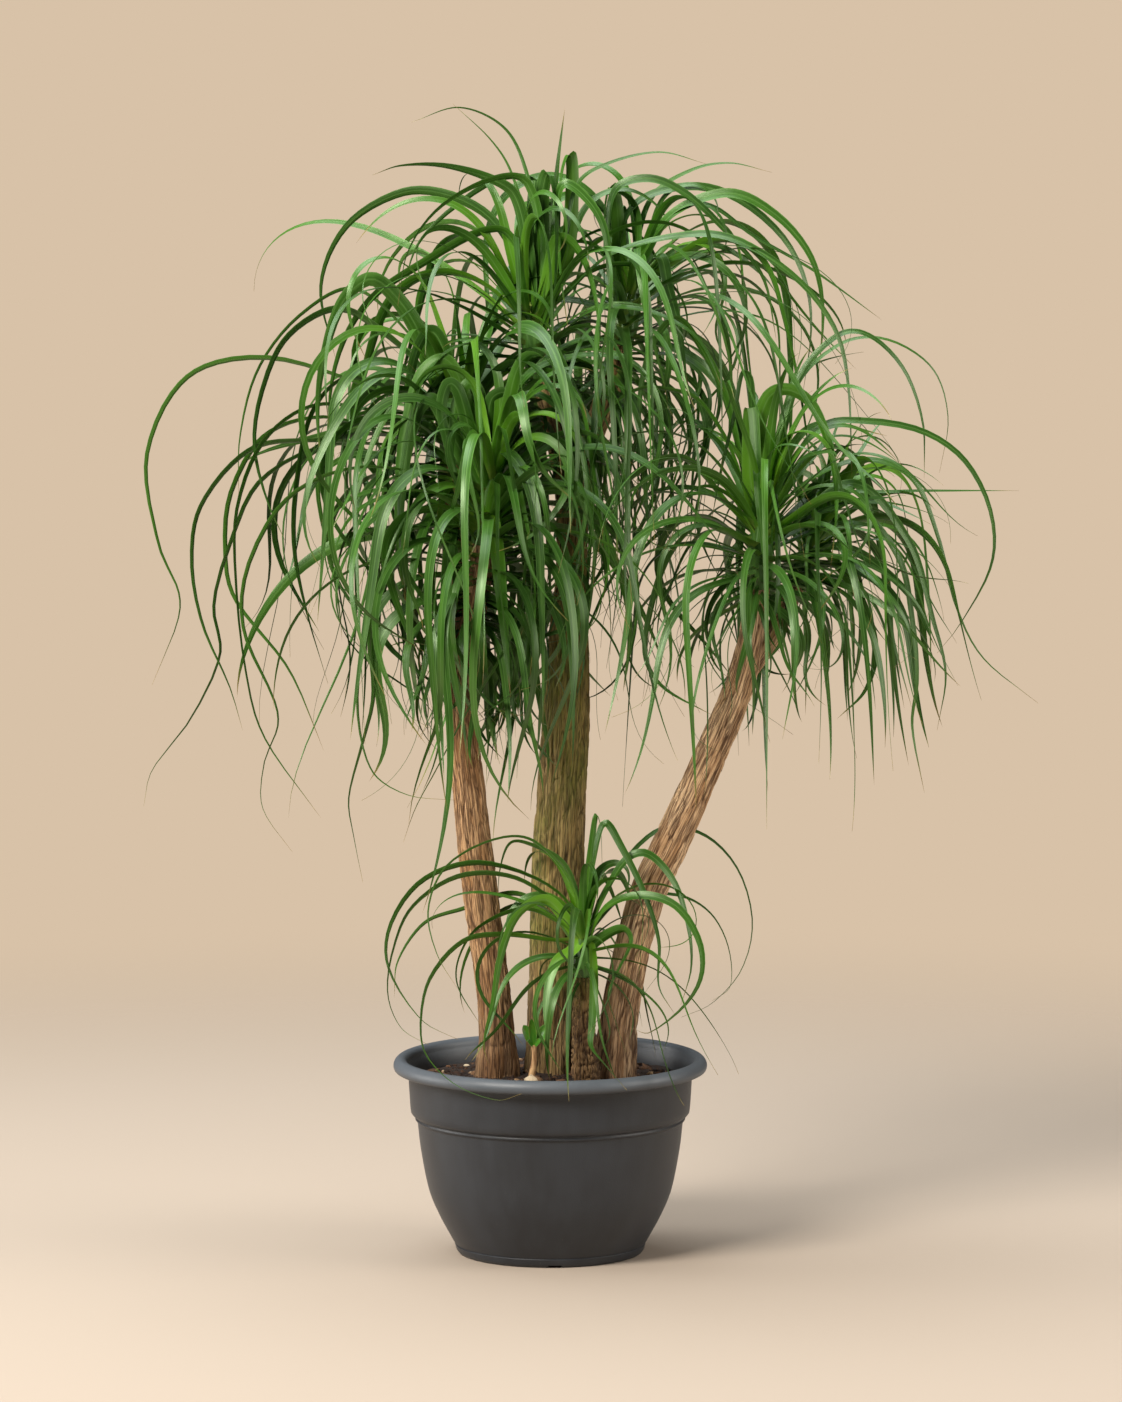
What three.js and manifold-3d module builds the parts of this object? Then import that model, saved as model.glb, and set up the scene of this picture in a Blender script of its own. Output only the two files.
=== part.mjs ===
// A potted ponytail palm, about 1.28 m tall: three bark-covered trunks that fork into six
// crowns of long arching strap leaves, a young offset and a small side sprout at their foot,
// potting soil, and a dark bell-shaped plastic pot with a rolled rim.
// Millimetres, +Z up, +Y away from the viewer. The origin is the centre of the pot's underside.
import * as THREE from "three";
import { mergeVertices } from "three/addons/utils/BufferGeometryUtils.js";
import Module from "manifold-3d";

const wasm = await Module();
wasm.setup();

// ---------- vectors ----------
const add = (a, b, k = 1) => [a[0] + b[0] * k, a[1] + b[1] * k, a[2] + b[2] * k];
const dot = (a, b) => a[0] * b[0] + a[1] * b[1] + a[2] * b[2];
const cross = (a, b) => [
  a[1] * b[2] - a[2] * b[1],
  a[2] * b[0] - a[0] * b[2],
  a[0] * b[1] - a[1] * b[0],
];
const lengthOf = (a) => Math.sqrt(dot(a, a));
const unit = (a) => add([0, 0, 0], a, 1 / lengthOf(a));
const mix = (range, share) => range[0] + (range[1] - range[0]) * share;
const easeIn = (share) => {
  const s = Math.min(1, Math.max(0, share));
  return s * s * (3 - 2 * s);
};

// ---------- driving dimensions ----------
const fitGap = 0.3; // between pieces that touch
const stemGap = 0.5; // round a stem in its hole
const potSegments = 36;
const potFloor = 5;
const soilLevel = 195;
const drainHole = { count: 5, radius: 6, circle: 70, sides: 8 };
const footSlot = { count: 4, width: 15, height: 3, depth: 12, circle: 106, turn: 0.05 };
const soil = { around: 28, rings: [154, 128, 100, 70, 36], mound: 5, slope: 0.045, clod: 1.6, wallGap: 0.9 };

// Outside of the pot from the foot to the crest of the rim, as radius and height.
const potOutside = [
  [101, 0], [106, 5], [108.5, 14], [124, 43], [136, 72], [144.5, 113], [148.5, 150],
  [155, 156], [158.5, 205], [171, 205], [175, 212], [168, 220],
];
// Inside, from the rim down to the floor.
const potInside = [
  [161, 217], [159, 210], [155.5, 200], [151.5, 157], [145.5, 149], [141, 113], [132.5, 72],
  [120, 41], [106, 15], [100, potFloor],
];

// The midlines of the traced leaves were read by eye from this viewpoint in front of the plant.
const eye = { x: 12, distance: 8000, height: 1510 };

// ---------- trunks: stations of x, y, z and radius, from inside the soil to the tips ----------
const trunks = {
  trunk_left: {
    sides: 18, lobes: 4, flare: 0.12,
    main: [
      [-61, 6, 120, 21], [-60, 6, 200, 23], [-60, 6, 240, 19.5], [-64, 4, 300, 19.5],
      [-77, -2, 400, 20], [-88, -12, 500, 18.5], [-98, -22, 600, 16.5], [-94, -32, 665, 15],
      [-82, -45, 735, 13], [-73, -55, 800, 12],
    ],
    branches: [
      [[-95, -26, 630, 11], [-104, -8, 700, 12.5], [-107, 12, 790, 12], [-101, 25, 880, 12]],
    ],
  },
  trunk_centre: {
    sides: 20, lobes: 5, flare: 0.1,
    main: [
      [6, 32, 120, 31], [5, 32, 200, 35], [5, 32, 250, 31], [7, 32, 330, 29], [9, 33, 430, 29],
      [12, 34, 500, 28], [18, 36, 600, 26.5], [21, 38, 690, 22], [23, 40, 750, 18],
      [22, 42, 850, 16], [6, 42, 920, 13.5], [-8, 38, 975, 13],
    ],
    branches: [
      [[22, 43, 815, 12], [38, 56, 880, 13], [62, 70, 950, 13], [77, 76, 1010, 12.5]],
    ],
  },
  trunk_right: {
    sides: 18, lobes: 4, flare: 0.12,
    main: [
      [68, -8, 120, 22], [70, -8, 200, 25], [75, -8, 250, 21.5], [85, -7, 310, 20.5],
      [107, -6, 400, 20], [129, -6, 450, 19.5], [152, -7, 500, 19], [195, -10, 600, 17.5],
      [213, -16, 650, 16], [224, -27, 705, 13.5], [228, -34, 750, 13],
    ],
    branches: [
      [[210, -14, 640, 11], [238, -2, 682, 12], [258, 12, 712, 11.5], [272, 22, 745, 11]],
    ],
  },
  offset_stem: {
    sides: 12, lobes: 3, flare: 0.2,
    main: [[38, -48, 130, 13], [38, -48, 200, 15], [37, -49, 250, 12.5], [37, -50, 318, 11.5]],
    branches: [],
  },
};

// ---------- crowns ----------
// stem: the trunk that carries the crown, and which of its paths, 0 for the main one. reach:
// length of a full-grown leaf. count: how many leaves the phyllotaxis rule adds to the traced ones.
// A traced leaf is [width, depth at its middle, depth at its tip, turn in degrees, then points of
// its midline as x and z seen from the front]. Depths count from the crown, and less is nearer.
const crowns = {
  crown_top_left: {
    stem: ["trunk_centre", 0], height: 95, radius: 15, reach: 430, count: 15, seed: 11,
    traced: [
      [11, 0, 6, 70, [0, 1120], [7, 1205], [16, 1275]],
      [15, -12, -52, 20, [17, 1110], [25, 1195], [22, 1227], [13, 1200], [11, 1110], [20, 1030]],
      [16, -20, -66, 15, [-9, 1100], [-9, 1180], [-2, 1205], [6, 1165], [5, 1080], [0, 1000]],
      [14, 6, 70, 25, [-22, 1100], [-18, 1180], [-17, 1196], [-20, 1140], [-24, 1060]],
      [15, -6, -10, 60, [-24, 1110], [-38, 1178], [-67, 1199], [-117, 1213], [-165, 1213],
        [-195, 1203]],
      [6, 4, 10, 60, [-20, 1120], [-42, 1203], [-65, 1241], [-106, 1280]],
      [6, 14, 24, 60, [-14, 1130], [-27, 1208], [-51, 1255], [-100, 1277], [-152, 1261]],
      [12, -26, -40, 50, [-10, 1120], [-25, 1193], [-60, 1199], [-120, 1168], [-156, 1120],
        [-168, 1060]],
      [9, 20, 34, 55, [0, 1110], [-8, 1185], [-47, 1201], [-100, 1172], [-145, 1128], [-163, 1075]],
      [12, 26, 44, 65, [-30, 1090], [-63, 1152], [-113, 1181], [-165, 1183], [-225, 1146],
        [-253, 1080], [-237, 1000]],
      [14, -30, -46, 55, [-25, 1085], [-47, 1138], [-81, 1138], [-143, 1104], [-197, 1067],
        [-230, 1015], [-244, 950], [-238, 885]],
      [16, -44, -70, 40, [8, 1060], [63, 1112], [132, 1134], [197, 1134], [268, 1092], [313, 1036],
        [329, 975], [334, 870]],
      [7, -14, -24, 60, [15, 1120], [29, 1190], [60, 1214], [120, 1228], [172, 1215]],
      [11, 16, 40, 55, [10, 1080], [33, 1156], [58, 1182], [92, 1185], [125, 1160], [140, 1110]],
      [12, -34, -60, 45, [2, 1120], [13, 1191], [37, 1180], [59, 1145], [66, 1085], [70, 1000]],
      [15, -36, -58, 20, [-2, 1085], [8, 1131], [23, 1128], [41, 1098], [53, 1040], [50, 960]],
      [10, -56, -96, 50, [4, 1026], [45, 1052], [80, 1057], [125, 1047], [165, 1020], [192, 965]],
    ],
  },
  crown_top_right: {
    stem: ["trunk_centre", 1], height: 90, radius: 14.5, reach: 420, count: 19, seed: 23,
    traced: [
      [14, -14, -48, 18, [77, 1100], [74, 1165], [68, 1191], [61, 1165], [60, 1080], [63, 990]],
      [10, 10, 40, 25, [80, 1110], [80, 1160], [82, 1169], [86, 1130], [92, 1060]],
      [12, -20, -34, 55, [96, 1100], [133, 1158], [197, 1183], [250, 1158], [288, 1112], [301, 1056],
        [297, 985]],
      [11, 10, 18, 55, [76, 1120], [96, 1172], [155, 1190], [206, 1177], [256, 1135], [282, 1084],
        [288, 1030], [279, 960]],
      [10, -34, -50, 50, [66, 1130], [72, 1186], [109, 1199], [150, 1182], [195, 1140], [235, 1090],
        [250, 1020]],
      [7, 4, 8, 60, [92, 1110], [112, 1178], [155, 1208], [198, 1216], [243, 1206]],
      [13, -46, -76, 35, [100, 1090], [121, 1113], [130, 1080], [141, 1040], [152, 970]],
      [8, 30, 50, 55, [100, 1110], [140, 1165], [178, 1168], [225, 1135], [290, 1098], [365, 1044]],
    ],
  },
  crown_left_high: {
    stem: ["trunk_left", 1], height: 85, radius: 14.5, reach: 430, count: 13, seed: 37,
    traced: [
      [11, 10, 24, 60, [-150, 945], [-200, 968], [-311, 1001], [-400, 981], [-446, 895], [-434, 795],
        [-410, 727], [-442, 638]],
      [13, -24, -34, 55, [-160, 905], [-258, 909], [-330, 900], [-385, 840], [-397, 778],
        [-386, 707], [-356, 636], [-342, 588]],
      [13, -6, -10, 60, [-140, 985], [-184, 1028], [-235, 1055], [-290, 1024], [-318, 965],
        [-327, 905], [-314, 845], [-292, 795]],
      [6, 16, 30, 60, [-150, 1020], [-215, 1077], [-275, 1049], [-322, 990], [-343, 915], [-345, 845]],
      [17, -30, -52, 30, [-128, 985], [-150, 1040], [-179, 1078], [-201, 1088], [-229, 1063],
        [-248, 1010], [-257, 950], [-254, 885]],
      [17, -46, -66, 35, [-150, 950], [-222, 978], [-262, 940], [-280, 860], [-283, 790],
        [-270, 720], [-247, 640]],
      [13, -38, -56, 45, [-180, 940], [-260, 948], [-316, 909], [-346, 835], [-348, 755],
        [-338, 655], [-318, 580], [-256, 490]],
      [12, 2, 12, 60, [-170, 915], [-250, 935], [-315, 915], [-352, 855], [-360, 795], [-350, 735],
        [-290, 655], [-252, 565]],
      [12, -14, -20, 55, [-160, 890], [-240, 905], [-320, 865], [-356, 790], [-373, 725],
        [-366, 672], [-399, 600], [-443, 542], [-452, 503]],
      [16, -20, -40, 25, [-112, 985], [-122, 1020], [-134, 1030], [-150, 1000], [-158, 940],
        [-160, 870]],
    ],
  },
  crown_left_front: {
    stem: ["trunk_left", 0], height: 90, radius: 15, reach: 400, count: 11, seed: 41,
    traced: [
      [16, -34, -50, 15, [-66, 865], [-62, 898], [-47, 890], [-33, 842], [-23, 792], [-17, 725],
        [-22, 650]],
      [17, -44, -52, 10, [-72, 828], [-70, 838], [-61, 795], [-55, 740], [-50, 685], [-44, 625]],
      [15, -8, -26, 25, [-74, 900], [-77, 958], [-88, 974], [-103, 955], [-109, 905], [-106, 850]],
      [14, -18, -34, 30, [-85, 905], [-100, 962], [-112, 973], [-120, 945], [-113, 905], [-103, 860],
        [-98, 790]],
      [15, -26, -40, 30, [-105, 910], [-130, 955], [-148, 940], [-160, 890], [-166, 820], [-160, 735]],
      [16, -14, -30, 30, [-88, 935], [-112, 998], [-140, 988], [-157, 942], [-167, 880], [-169, 800],
        [-158, 715]],
      [13, -20, -44, 30, [-68, 900], [-66, 953], [-50, 963], [-36, 948], [-24, 912], [-15, 865],
        [-12, 815]],
      [12, -10, -30, 40, [-62, 890], [-42, 948], [-15, 961], [15, 937], [42, 895], [55, 848],
        [58, 790]],
      [10, 4, -14, 45, [-57, 920], [-25, 982], [27, 1003], [76, 1000], [113, 974], [142, 925]],
      [10, 16, 4, 50, [-54, 925], [-15, 990], [27, 1019], [62, 1021], [102, 1007], [142, 975]],
      [15, -24, -16, 25, [-48, 842], [5, 858], [40, 838], [65, 790], [83, 740], [88, 690], [81, 630]],
      [10, -10, 0, 50, [-200, 880], [-285, 850], [-333, 775], [-340, 700], [-302, 605], [-318, 550],
        [-320, 500], [-288, 452]],
      [10, -30, -30, 45, [-125, 850], [-170, 800], [-198, 710], [-196, 625], [-210, 567],
        [-224, 510], [-218, 465], [-209, 418]],
      [9, -20, -10, 45, [-120, 870], [-165, 810], [-198, 710], [-214, 625], [-200, 545], [-160, 515],
        [-108, 509]],
      [9, -34, -40, 45, [-50, 850], [-28, 790], [-46, 690], [-92, 610], [-127, 543], [-150, 500],
        [-163, 463]],
      [15, -36, -60, 15, [-88, 835], [-108, 858], [-122, 820], [-130, 750], [-118, 690], [-100, 650]],
    ],
  },
  crown_right_front: {
    stem: ["trunk_right", 0], height: 90, radius: 15, reach: 420, count: 14, seed: 53,
    traced: [
      [11, 20, 30, 60, [255, 900], [277, 982], [320, 1027], [354, 1025], [391, 988], [412, 930],
        [414, 868]],
      [6, 34, 54, 60, [268, 960], [318, 1015], [370, 1022], [422, 990], [440, 935], [431, 875]],
      [12, -6, -4, 60, [262, 870], [300, 925], [352, 931], [414, 919], [460, 886], [488, 830],
        [489, 772], [455, 706], [430, 674]],
      [10, 14, 26, 55, [280, 860], [345, 888], [400, 868], [430, 800], [450, 725], [480, 668],
        [541, 618]],
      [16, -22, -46, 30, [228, 900], [240, 955], [262, 966], [290, 948], [311, 895], [317, 835],
        [311, 770]],
      [18, -10, -30, 35, [215, 860], [190, 965], [155, 1030], [137, 1044], [115, 1018], [101, 970],
        [98, 900], [97, 835]],
      [15, -34, -50, 12, [222, 865], [221, 932], [223, 946], [227, 900], [231, 840], [237, 780],
        [239, 735]],
      [16, -40, -52, 12, [232, 825], [239, 866], [247, 850], [251, 800], [252, 745], [246, 690]],
      [11, -20, -42, 40, [224, 905], [221, 975], [213, 984], [204, 938], [190, 880], [179, 822]],
      [12, -26, -40, 45, [195, 805], [165, 815], [131, 778], [112, 722], [106, 670], [126, 635],
        [180, 604]],
      [10, 0, 14, 55, [330, 862], [396, 800], [424, 712], [439, 650], [430, 588]],
      [10, 8, 10, 50, [320, 845], [383, 785], [402, 705], [407, 642], [402, 592], [416, 518]],
      [5, 30, 44, 60, [300, 846], [380, 853], [450, 854], [518, 854]],
      [11, -8, -36, 50, [205, 885], [166, 952], [130, 966], [96, 966], [62, 940], [38, 889],
        [30, 835], [35, 785], [72, 698]],
      [12, -14, -38, 45, [198, 835], [151, 888], [110, 882], [69, 846], [53, 800], [46, 740],
        [38, 680]],
    ],
  },
  crown_right_back: {
    stem: ["trunk_right", 1], height: 75, radius: 12.5, reach: 330, count: 19, seed: 67,
    traced: [
      [10, -12, -20, 50, [266, 755], [257, 705], [265, 655], [290, 628], [336, 598]],
      [10, -20, -30, 50, [305, 785], [343, 735], [361, 678], [350, 632], [319, 600]],
      [12, -26, -40, 40, [300, 790], [335, 787], [370, 765], [402, 732], [427, 680]],
      [11, -30, -50, 25, [286, 830], [292, 858], [304, 850], [318, 800], [322, 740]],
      [11, 10, 30, 35, [290, 840], [310, 872], [345, 850], [366, 790], [378, 700], [401, 614]],
    ],
  },
  crown_offset: {
    stem: ["offset_stem", 0], height: 62, radius: 11.5, reach: 260, count: 6, seed: 79,
    traced: [
      [10, 4, 20, 30, [41, 400], [46, 455], [51, 492], [56, 480], [58, 430]],
      [9, -14, -34, 45, [48, 430], [60, 483], [78, 458], [105, 403], [121, 350], [121, 300],
        [139, 268]],
      [8, 84, 96, 55, [60, 405], [117, 473], [168, 471], [208, 432], [225, 372], [213, 318],
        [180, 280], [147, 265]],
      [8, 96, 120, 55, [68, 392], [110, 430], [157, 443], [200, 418], [219, 370], [202, 300],
        [176, 250], [168, 226]],
      [10, -10, -24, 45, [60, 400], [85, 442], [109, 448], [138, 416], [154, 365], [157, 320],
        [146, 279]],
      [9, -24, -30, 45, [60, 385], [100, 402], [140, 390], [166, 350], [168, 310], [148, 276],
        [110, 247], [93, 252]],
      [7, 90, 90, 50, [80, 398], [140, 402], [177, 383], [198, 345], [201, 300], [182, 284]],
      [9, -16, -40, 50, [20, 392], [-25, 424], [-87, 438], [-144, 417], [-178, 368], [-180, 320],
        [-144, 262], [-104, 240]],
      [9, -30, -60, 50, [15, 385], [-40, 421], [-101, 423], [-153, 389], [-175, 340], [-181, 290],
        [-166, 252], [-137, 234]],
      [8, -20, -24, 50, [10, 370], [-30, 386], [-79, 366], [-101, 333], [-103, 300], [-78, 256]],
      [7, 80, 90, 50, [0, 380], [-40, 404], [-96, 387], [-140, 371], [-170, 328], [-174, 288]],
      [9, -60, -142, 45, [5, 350], [-50, 357], [-96, 350], [-133, 309], [-144, 260], [-138, 222],
        [-105, 188], [-59, 171], [-33, 178]],
      [11, -36, -50, 30, [20, 370], [-5, 397], [-36, 380], [-55, 333], [-64, 280], [-74, 235],
        [-69, 212]],
      [9, -50, -136, 30, [12, 326], [-20, 328], [-45, 298], [-42, 255], [-5, 198], [13, 187],
        [14, 160], [18, 132]],
      [11, -70, -136, 20, [42, 352], [46, 335], [48, 300], [46, 255], [45, 232], [60, 212], [85, 183]],
      [10, -24, -40, 30, [55, 352], [80, 364], [89, 350], [75, 318], [64, 290], [72, 262], [84, 226]],
      [11, -30, -50, 20, [25, 340], [8, 328], [-2, 300], [-5, 262], [0, 235]],
      [9, -6, -16, 35, [30, 400], [12, 440], [-25, 460], [-45, 460], [-56, 430], [-58, 395]],
      [5, -16, -40, 55, [25, 410], [-19, 463], [-64, 464], [-116, 434], [-136, 385], [-126, 335],
        [-104, 298]],
    ],
  },
};

// A crown's heart stands on the end of its stem and points the same way.
for (const crown of Object.values(crowns)) {
  const { main, branches } = trunks[crown.stem[0]];
  const path = [main, ...branches][crown.stem[1]];
  crown.at = path[path.length - 1].slice(0, 3);
  crown.axis = unit(add(crown.at, path[path.length - 2], -1));
}

// ---------- leaf rules ----------
const leafSamples = 60;
const goldenAngle = (137.508 * Math.PI) / 180;
const leafRule = {
  tries: 14,
  width: [9, 14],
  launch: [84, -14], // degrees above the horizon, youngest to oldest
  hang: [-76, -96], // degrees at the tip
  bendStart: [0.02, 0.16], // shares of the leaf's length
  bendEnd: [0.5, 0.74],
  sway: 0.55, // radians that a tip may wander sideways
  deeper: 0.35, // how much longer the leaves are that head straight to the front or the back
  headingSpread: 0.7,
  launchSpread: 18,
};
const leafRoom = { besideTrunk: 6, besideHeart: 12, sharedZone: 90 };
const nudges = [0, 8, -8, 16, -16, 24, -24, 34, -34, 46, -46, 60]; // depths tried at a traced tip
const bladeThickness = 1.3; // at the keel, near the root
const tipThickness = 0.65;
const bands = { traced: 6, rule: 5, sprout: 4 }; // steps along a leaf, closer where it bends
const cellSize = 7; // two leaves are clear when their lines stay in different cells of this size

// The same seed gives the same leaves every time.
function randomFrom(seed) {
  let state = seed >>> 0;
  return () => {
    state = (state + 0x6d2b79f5) >>> 0;
    let mixed = Math.imul(state ^ (state >>> 15), state | 1);
    mixed = (mixed + Math.imul(mixed ^ (mixed >>> 7), mixed | 61)) ^ mixed;
    return ((mixed ^ (mixed >>> 14)) >>> 0) / 4294967296;
  };
}

// A smooth line through the points, given back as evenly spaced samples.
function smoothLine(points, samples) {
  const knots = [0];
  for (let i = 1; i < points.length; i++) {
    knots.push(knots[i - 1] + Math.sqrt(lengthOf(add(points[i], points[i - 1], -1))));
  }
  const slope = (a, b) => add([0, 0, 0], add(points[b], points[a], -1), 1 / (knots[b] - knots[a]));
  const last = points.length - 1;
  const tangents = points.map((_, i) => slope(Math.max(0, i - 1), Math.min(last, i + 1)));
  const fine = [];
  for (let i = 0; i < last; i++) {
    const span = knots[i + 1] - knots[i];
    for (let k = 0; k < 16; k++) {
      const s = k / 16;
      const weights = [
        2 * s ** 3 - 3 * s ** 2 + 1, (s ** 3 - 2 * s ** 2 + s) * span,
        3 * s ** 2 - 2 * s ** 3, (s ** 3 - s ** 2) * span,
      ];
      const parts = [points[i], tangents[i], points[i + 1], tangents[i + 1]];
      fine.push(parts.reduce((sum, part, j) => add(sum, part, weights[j]), [0, 0, 0]));
    }
  }
  fine.push(points[last]);
  return evenly(fine, samples);
}

function evenly(line, samples) {
  const travelled = [0];
  for (let i = 1; i < line.length; i++) {
    travelled.push(travelled[i - 1] + lengthOf(add(line[i], line[i - 1], -1)));
  }
  const total = travelled[travelled.length - 1];
  const even = [];
  let at = 0;
  for (let k = 0; k <= samples; k++) {
    const goal = (total * k) / samples;
    while (at < line.length - 2 && travelled[at + 1] < goal) at++;
    const share = (goal - travelled[at]) / (travelled[at + 1] - travelled[at]);
    even.push(add(line[at], add(line[at + 1], line[at], -1), share));
  }
  return even;
}

// A traced leaf: each seen point slides along the line of sight to its depth.
function tracedLeaf(crown, entry, index) {
  const [width, middle, tip, turn, ...seen] = entry;
  const { axis } = crown;
  const root = add(crown.at, axis, crown.height * (0.2 + 0.6 * ((index * 0.618) % 1)));
  const walked = [0];
  seen.forEach(([x, z], i) => {
    const before = i ? seen[i - 1] : [root[0], root[2]];
    walked.push(walked[i] + Math.hypot(x - before[0], z - before[1]));
  });
  const total = walked[walked.length - 1];
  const shape = (nudge) => {
    const points = seen.map(([x, z], i) => {
      const share = walked[i + 1] / total;
      const bow = (4 * middle - tip) * share + (2 * tip - 4 * middle) * share * share;
      const depth = crown.at[1] + bow + nudge * share;
      const slide = 1 + depth / eye.distance;
      return [eye.x + (x - eye.x) * slide, depth, eye.height + (z - eye.height) * slide];
    });
    return smoothLine([root, ...points], leafSamples);
  };
  return { width, turn: (turn * Math.PI) / 180, steps: bands.traced, shape };
}

// A leaf of the phyllotaxis rule: it leaves the heart at its own angle, bends over and hangs.
function ruleLeaf(crown, index, random) {
  const age = (index + 0.5) / crown.count;
  const { axis } = crown;
  const heading = index * goldenAngle + (random() - 0.5) * leafRule.headingSpread;
  const launch = mix(leafRule.launch, age ** 0.8) + (random() - 0.5) * leafRule.launchSpread;
  const hang = mix(leafRule.hang, random());
  const bend = [mix(leafRule.bendStart, random()), mix(leafRule.bendEnd, random())];
  const grown = 0.74 + 0.3 * Math.sin(Math.PI * Math.min(1, age * 1.15)) + (random() - 0.5) * 0.24;
  const sway = (random() - 0.5) * 2 * leafRule.sway;
  const curl = (random() - 0.35) * 0.9;
  const turn = (random() - 0.5) * 2.2;
  const width = mix(leafRule.width, random()) * (age < 0.12 ? 0.8 : 1);
  const deeper = 1 + leafRule.deeper * Math.sin(heading) ** 2;
  const step = (crown.reach * grown * deeper) / leafSamples;
  const line = [add(crown.at, axis, crown.height * (0.9 - 0.8 * age))];
  for (let k = 0; k < leafSamples; k++) {
    const share = (k + 0.5) / leafSamples;
    const bent = easeIn((share - bend[0]) / (bend[1] - bend[0]));
    const pitch = ((launch + (hang - launch) * bent) * Math.PI) / 180 + curl * share ** 4;
    const yaw = heading + sway * share * share + 0.35 * sway * Math.sin(7 * share);
    const lean = axis[0] * (1 - share) * 0.8;
    const ahead = unit([
      Math.cos(pitch) * Math.cos(yaw) + lean,
      Math.cos(pitch) * Math.sin(yaw),
      Math.sin(pitch),
    ]);
    line.push(add(line[k], ahead, step));
  }
  return { width, turn, steps: bands.rule, line };
}

// ---------- space that is already taken ----------
const cellOf = (p) => p.map((v) => Math.floor(v / cellSize)).join();
const potKeepOut = { outer: 183, inner: 150, top: 228, soil: soilLevel + 12 };

function hitsTrunk(p) {
  for (const trunk of Object.values(trunks)) {
    for (const path of [trunk.main, ...trunk.branches]) {
      for (let i = 1; i < path.length; i++) {
        const [from, to] = [path[i - 1], path[i]];
        const along = add(to, from, -1);
        const share = Math.min(1, Math.max(0, dot(add(p, from, -1), along) / dot(along, along)));
        const radius = from[3] + (to[3] - from[3]) * share;
        if (lengthOf(add(p, add(from, along, share), -1)) < radius + leafRoom.besideTrunk) return true;
      }
    }
  }
  return false;
}

function hitsPot(p) {
  const radius = Math.hypot(p[0], p[1]);
  if (p[2] > potKeepOut.top || radius > potKeepOut.outer) return false;
  return radius > potKeepOut.inner || p[2] < potKeepOut.soil;
}

// Clear of pot, trunks and other crowns, and past ownZone of the crown's other leaves too.
function isClear(line, name, crown, taken, ownZone) {
  const rootZone = crown.radius + leafRoom.besideHeart;
  for (const p of line) {
    const fromRoot = lengthOf(add(p, line[0], -1));
    if (fromRoot < rootZone) continue;
    if (hitsPot(p) || hitsTrunk(p)) return false;
    const owner = taken.get(cellOf(p));
    if (owner && (owner !== name || fromRoot > ownZone)) return false;
  }
  return true;
}

// Claims the leaf's own cells, and the cells beside them against other crowns.
const beside = [[1, 0, 0], [-1, 0, 0], [0, 1, 0], [0, -1, 0], [0, 0, 1], [0, 0, -1]];

function claim(line, name, taken) {
  for (const p of line) {
    taken.set(cellOf(p), name);
    for (const step of beside) {
      const cell = cellOf(add(p, step, cellSize / 2));
      if (!taken.has(cell)) taken.set(cell, name);
    }
  }
}

function growLeaves() {
  const taken = new Map();
  const grown = {};
  for (const [name, crown] of Object.entries(crowns)) {
    grown[name] = [];
    crown.traced.forEach((entry, i) => {
      const leaf = tracedLeaf(crown, entry, i);
      const lines = nudges.map((nudge) => leaf.shape(nudge));
      const findClear = (ownZone) =>
        lines.find((candidate) => isClear(candidate, name, crown, taken, ownZone));
      const line = findClear(leafRoom.sharedZone) ?? findClear(Infinity);
      if (line) claim(line, name, taken);
      grown[name].push({ ...leaf, line: line ?? lines[0], clear: Boolean(line) });
    });
  }
  for (const [name, crown] of Object.entries(crowns)) {
    const random = randomFrom(crown.seed);
    for (let i = 0; i < crown.count; i++) {
      let leaf;
      let clear = false;
      for (let attempt = 0; attempt < leafRule.tries && !clear; attempt++) {
        leaf = ruleLeaf(crown, i, random);
        clear = isClear(leaf.line, name, crown, taken, leafRoom.sharedZone);
      }
      if (clear) claim(leaf.line, name, taken);
      grown[name].push({ ...leaf, clear });
    }
  }
  return grown;
}

// ---------- meshes and solids ----------
function geometryOf(vertices, faces) {
  return new THREE.BufferGeometry()
    .setAttribute("position", new THREE.BufferAttribute(new Float32Array(vertices.flat()), 3))
    .setIndex(faces.flat());
}

function solidOf(geometry) {
  const bare = geometry.clone();
  bare.deleteAttribute("normal");
  bare.deleteAttribute("uv");
  const merged = mergeVertices(bare, 1e-3);
  return new wasm.Manifold(
    new wasm.Mesh({
      numProp: 3,
      vertProperties: new Float32Array(merged.attributes.position.array),
      triVerts: new Uint32Array(merged.index.array),
    }),
  );
}

function geometryFrom(solid) {
  const mesh = solid.getMesh();
  const flat = mesh.vertProperties;
  const position = new Float32Array(mesh.numVert * 3);
  for (let i = 0; i < mesh.numVert; i++) {
    position.set(flat.subarray(i * mesh.numProp, i * mesh.numProp + 3), i * 3);
  }
  return new THREE.BufferGeometry()
    .setAttribute("position", new THREE.BufferAttribute(position, 3))
    .setIndex(new THREE.BufferAttribute(new Uint32Array(mesh.triVerts), 1));
}

// The outer skin alone: hollows sealed by crossing leaves are filled, and loose scraps dropped.
function wholeBody(solid) {
  const bodies = solidOf(geometryFrom(solid)).decompose();
  return bodies.reduce((best, body) => (body.volume() > best.volume() ? body : best));
}

// Whether every edge is shared by just two faces.
function isClosed(solid) {
  const { index } = mergeVertices(geometryFrom(solid), 1e-3);
  const uses = new Map();
  for (let i = 0; i < index.count; i += 3) {
    for (let k = 0; k < 3; k++) {
      const ends = [index.getX(i + k), index.getX(i + ((k + 1) % 3))];
      const edge = `${Math.min(...ends)}-${Math.max(...ends)}`;
      uses.set(edge, (uses.get(edge) ?? 0) + 1);
    }
  }
  return [...uses.values()].every((count) => count === 2);
}

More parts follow.
